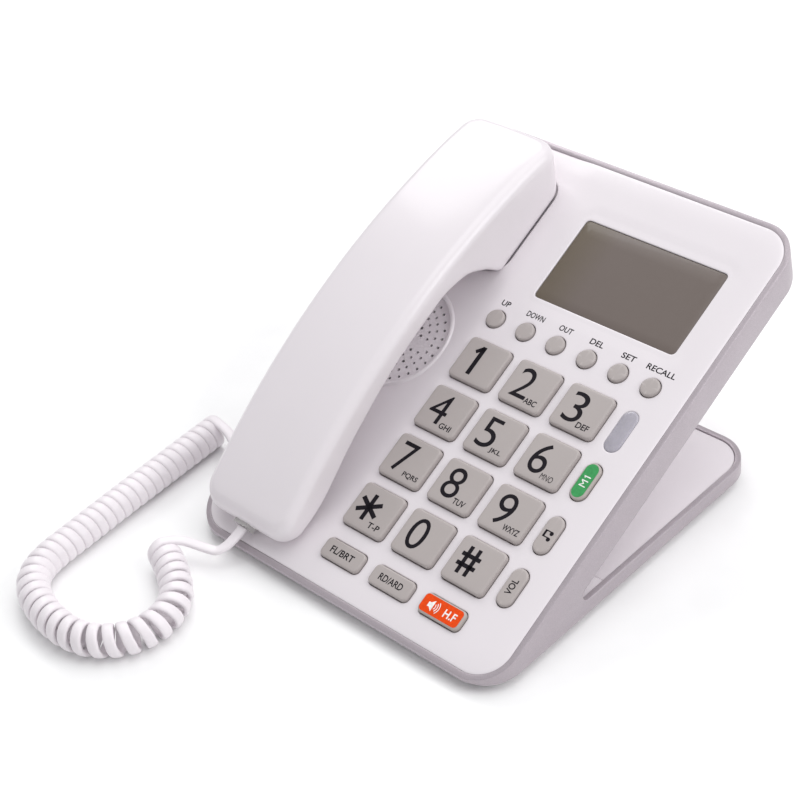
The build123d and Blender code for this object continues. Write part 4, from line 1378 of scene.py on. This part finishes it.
def add_shell(name, points, faces, nodes, wall, tree=None, holes=None):
    """One half of the handset, given its wall thickness and any sound holes."""
    mesh = bpy.data.meshes.new(name)
    shape = bmesh.new()
    corners = [shape.verts.new(PLACE_FACE @ Vector(leaned(p))) for p in points]
    for face in faces:
        shape.faces.new([corners[i] for i in face])
    bmesh.ops.remove_doubles(shape, verts=shape.verts, dist=0.000002)
    bmesh.ops.recalc_face_normals(shape, faces=shape.faces)
    shape.faces.ensure_lookup_table()
    middle = on_face(HANDSET_X, 105, 24)
    inward = sum(1 if f.normal.dot(f.calc_center_median() - middle) < 0 else -1 for f in shape.faces)
    if name.endswith("upper") and inward > 0:
        bmesh.ops.reverse_faces(shape, faces=shape.faces)
    if name.endswith("lower") and sum(f.normal.z for f in shape.faces) > 0:
        bmesh.ops.reverse_faces(shape, faces=shape.faces)
    shape.to_mesh(mesh)
    shape.free()
    work = loose_object(name + "_work", mesh)
    solidify = work.modifiers.new("wall", "SOLIDIFY")
    solidify.thickness = wall * MM
    solidify.offset = -1.0
    solidify.use_rim = True
    if holes:
        mesh = baked(work)
        drop(work)
        work = loose_object(name + "_work", mesh)
        for centre, rings, radius, depth in holes:
            mesh = drilled(work, tree, centre, rings, radius, depth, FINISHES["white_shell"])
            work = loose_object(name + "_work", mesh)
        mesh = work.data
    else:
        mesh = baked(work)
    drop(work)
    piece = add_mesh(name, mesh, FINISHES["white_shell"], "handset", 32)
    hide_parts(*nodes)
    return piece


EAR_Y = 175.0
EAR_HOLES = [(6.0, 8, 0), (2.6, 5, 0)]
EAR_HOLE_RADIUS = 0.75
MOUTH_Y = 32.0
MOUTH_HOLES = [(2.0, 4, 0)]
MOUTH_HOLE_RADIUS = 0.5
LOWER_WALL = 1.6
SEAM_GAP = 0.16
UPPER_INSETS = [0.12, 0.4, 0.85, 1.5, 2.3, 3.3, 4.5]
LOWER_INSETS = [0.12, 0.4, 0.85, 1.5, 2.3, 3.4, 4.6, 6.8]


def make_handset(tree):
    """The handset's upper and lower shells, with a fine seam between them."""
    top = draped(HANDSET_BORDER, [], UPPER_INSETS, [], 2.2, handset_top, 1.6)
    points, faces = shell(top, seam_line, 4)
    add_shell("handset_upper", points, faces, ["handset_outer_shell"], HANDSET_WALL)
    centre, (width, tall), corner = HANDSET_BORDER
    border = (centre, (width - 2 * SEAM_GAP, tall - 2 * SEAM_GAP), corner - SEAM_GAP)
    low = draped(border, [], LOWER_INSETS, [], 1.6, handset_under, 1.3)
    points, faces = shell(low, seam_line, 1)
    ear = on_face(HANDSET_X, EAR_Y, 0)
    mouth = on_face(HANDSET_X, MOUTH_Y, 3)
    holes = [(ear, EAR_HOLES, EAR_HOLE_RADIUS, 8), (mouth, MOUTH_HOLES, MOUTH_HOLE_RADIUS, 9)]
    add_shell("handset_lower", points, faces, ["handset_inner_shell"], LOWER_WALL, tree, holes)


# ---------------------------------------------------------------- base mouldings, feet and screws
CASE_SCREWS = [(-66.0, 46.0), (66.0, 46.0), (-73.0, -74.0), (73.0, -74.0)]
CASE_SCREW_LEVEL = 2.4
HANDSET_SCREWS = [(HANDSET_X, 156.0), (HANDSET_X, 186.5)]
HANDSET_SCREW_LEVEL = -0.9


def cross_screws_tree():
    """Puts a pan-head screw with a cross recess at every point it is given."""
    sizes = [
        ("Head radius", "Float", 0.0026),
        ("Head height", "Float", 0.0012),
        ("Shaft radius", "Float", 0.0012),
        ("Shaft length", "Float", 0.006),
        ("Recess", "Vector", (0.0028, 0.0006, 0.0014)),
        ("Turn", "Vector", (0, 0, 0)),
    ]
    tree, given = new_tree("cross_head_screws", sizes)
    head = rod(tree, given["Head radius"], given["Head height"], 32)
    slot = wired(tree, "GeometryNodeMeshCube", {"Size": given["Recess"]}).outputs["Mesh"]
    arms = [shaped(tree, slot, None, {"Rotation": (0, 0, turn)}) for turn in (0, pi / 2)]
    cross = wired(tree, "GeometryNodeJoinGeometry", {"Geometry": arms}).outputs["Geometry"]
    recess = shaped(tree, cross, None, {"Translation": (0, 0, -0.0007)})
    shaft = rod(tree, given["Shaft radius"], given["Shaft length"], 20)
    half = wired(tree, "ShaderNodeMath", {0: given["Shaft length"]}, {1: 0.5}, operation="MULTIPLY")
    rise = wired(tree, "ShaderNodeCombineXYZ", {"Z": half.outputs["Value"]}).outputs["Vector"]
    stem = shaped(tree, shaft, {"Translation": rise})
    parts = [cut_out(tree, head, recess), stem]
    screw = wired(tree, "GeometryNodeJoinGeometry", {"Geometry": parts}).outputs["Geometry"]
    aimed = shaped(tree, screw, {"Rotation": given["Turn"]})
    end_tree(tree, copies_at(tree, given["Geometry"], aimed), given)
    return tree


def make_screws():
    """The screws under the base and the two in the handset's lower shell."""
    tree = cross_screws_tree()
    desk = [Vector((x, y, CASE_SCREW_LEVEL)) * MM for x, y in CASE_SCREWS]
    ear = [on_face(x, y, HANDSET_SCREW_LEVEL) for x, y in HANDSET_SCREWS]
    for name, places, turn, node, body in (
        ("case_screw_set", desk, (0, 0, 0), "case_screws", "base"),
        ("handset_screw_set", ear, (TILT, 0, 0), "handset_screws", "handset"),
    ):
        mesh = bpy.data.meshes.new(name)
        mesh.from_pydata(places, [], [])
        work = loose_object(name + "_work", mesh)
        modifier = work.modifiers.new("screws", "NODES")
        modifier.node_group = tree
        set_inputs(modifier, tree, {"Turn": turn, "Material": FINISHES["steel"]})
        result = baked(work)
        drop(work)
        piece = add_mesh(name, result, FINISHES["steel"], body, 30)
        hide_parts(node)


def make_base():
    """The silver frame and the white covers, with softened edges."""
    bevelled_copy("base_frame", "frame_moulding", 0.45, "base", "silver_frame")
    bevelled_copy("back_cover", "back_moulding", 0.3, "base", "white_shell", 2)
    bevelled_copy("foot_cover", "foot_moulding", 0.3, "base", "white_shell", 2)


make_camera()
make_studio()
finish_cad_nodes()
make_cord()
holes_tree = ring_holes_tree()
make_panel()
make_grille(holes_tree)
make_caps()
make_lamp()
make_legends()
make_handset(holes_tree)
make_screws()
make_base()
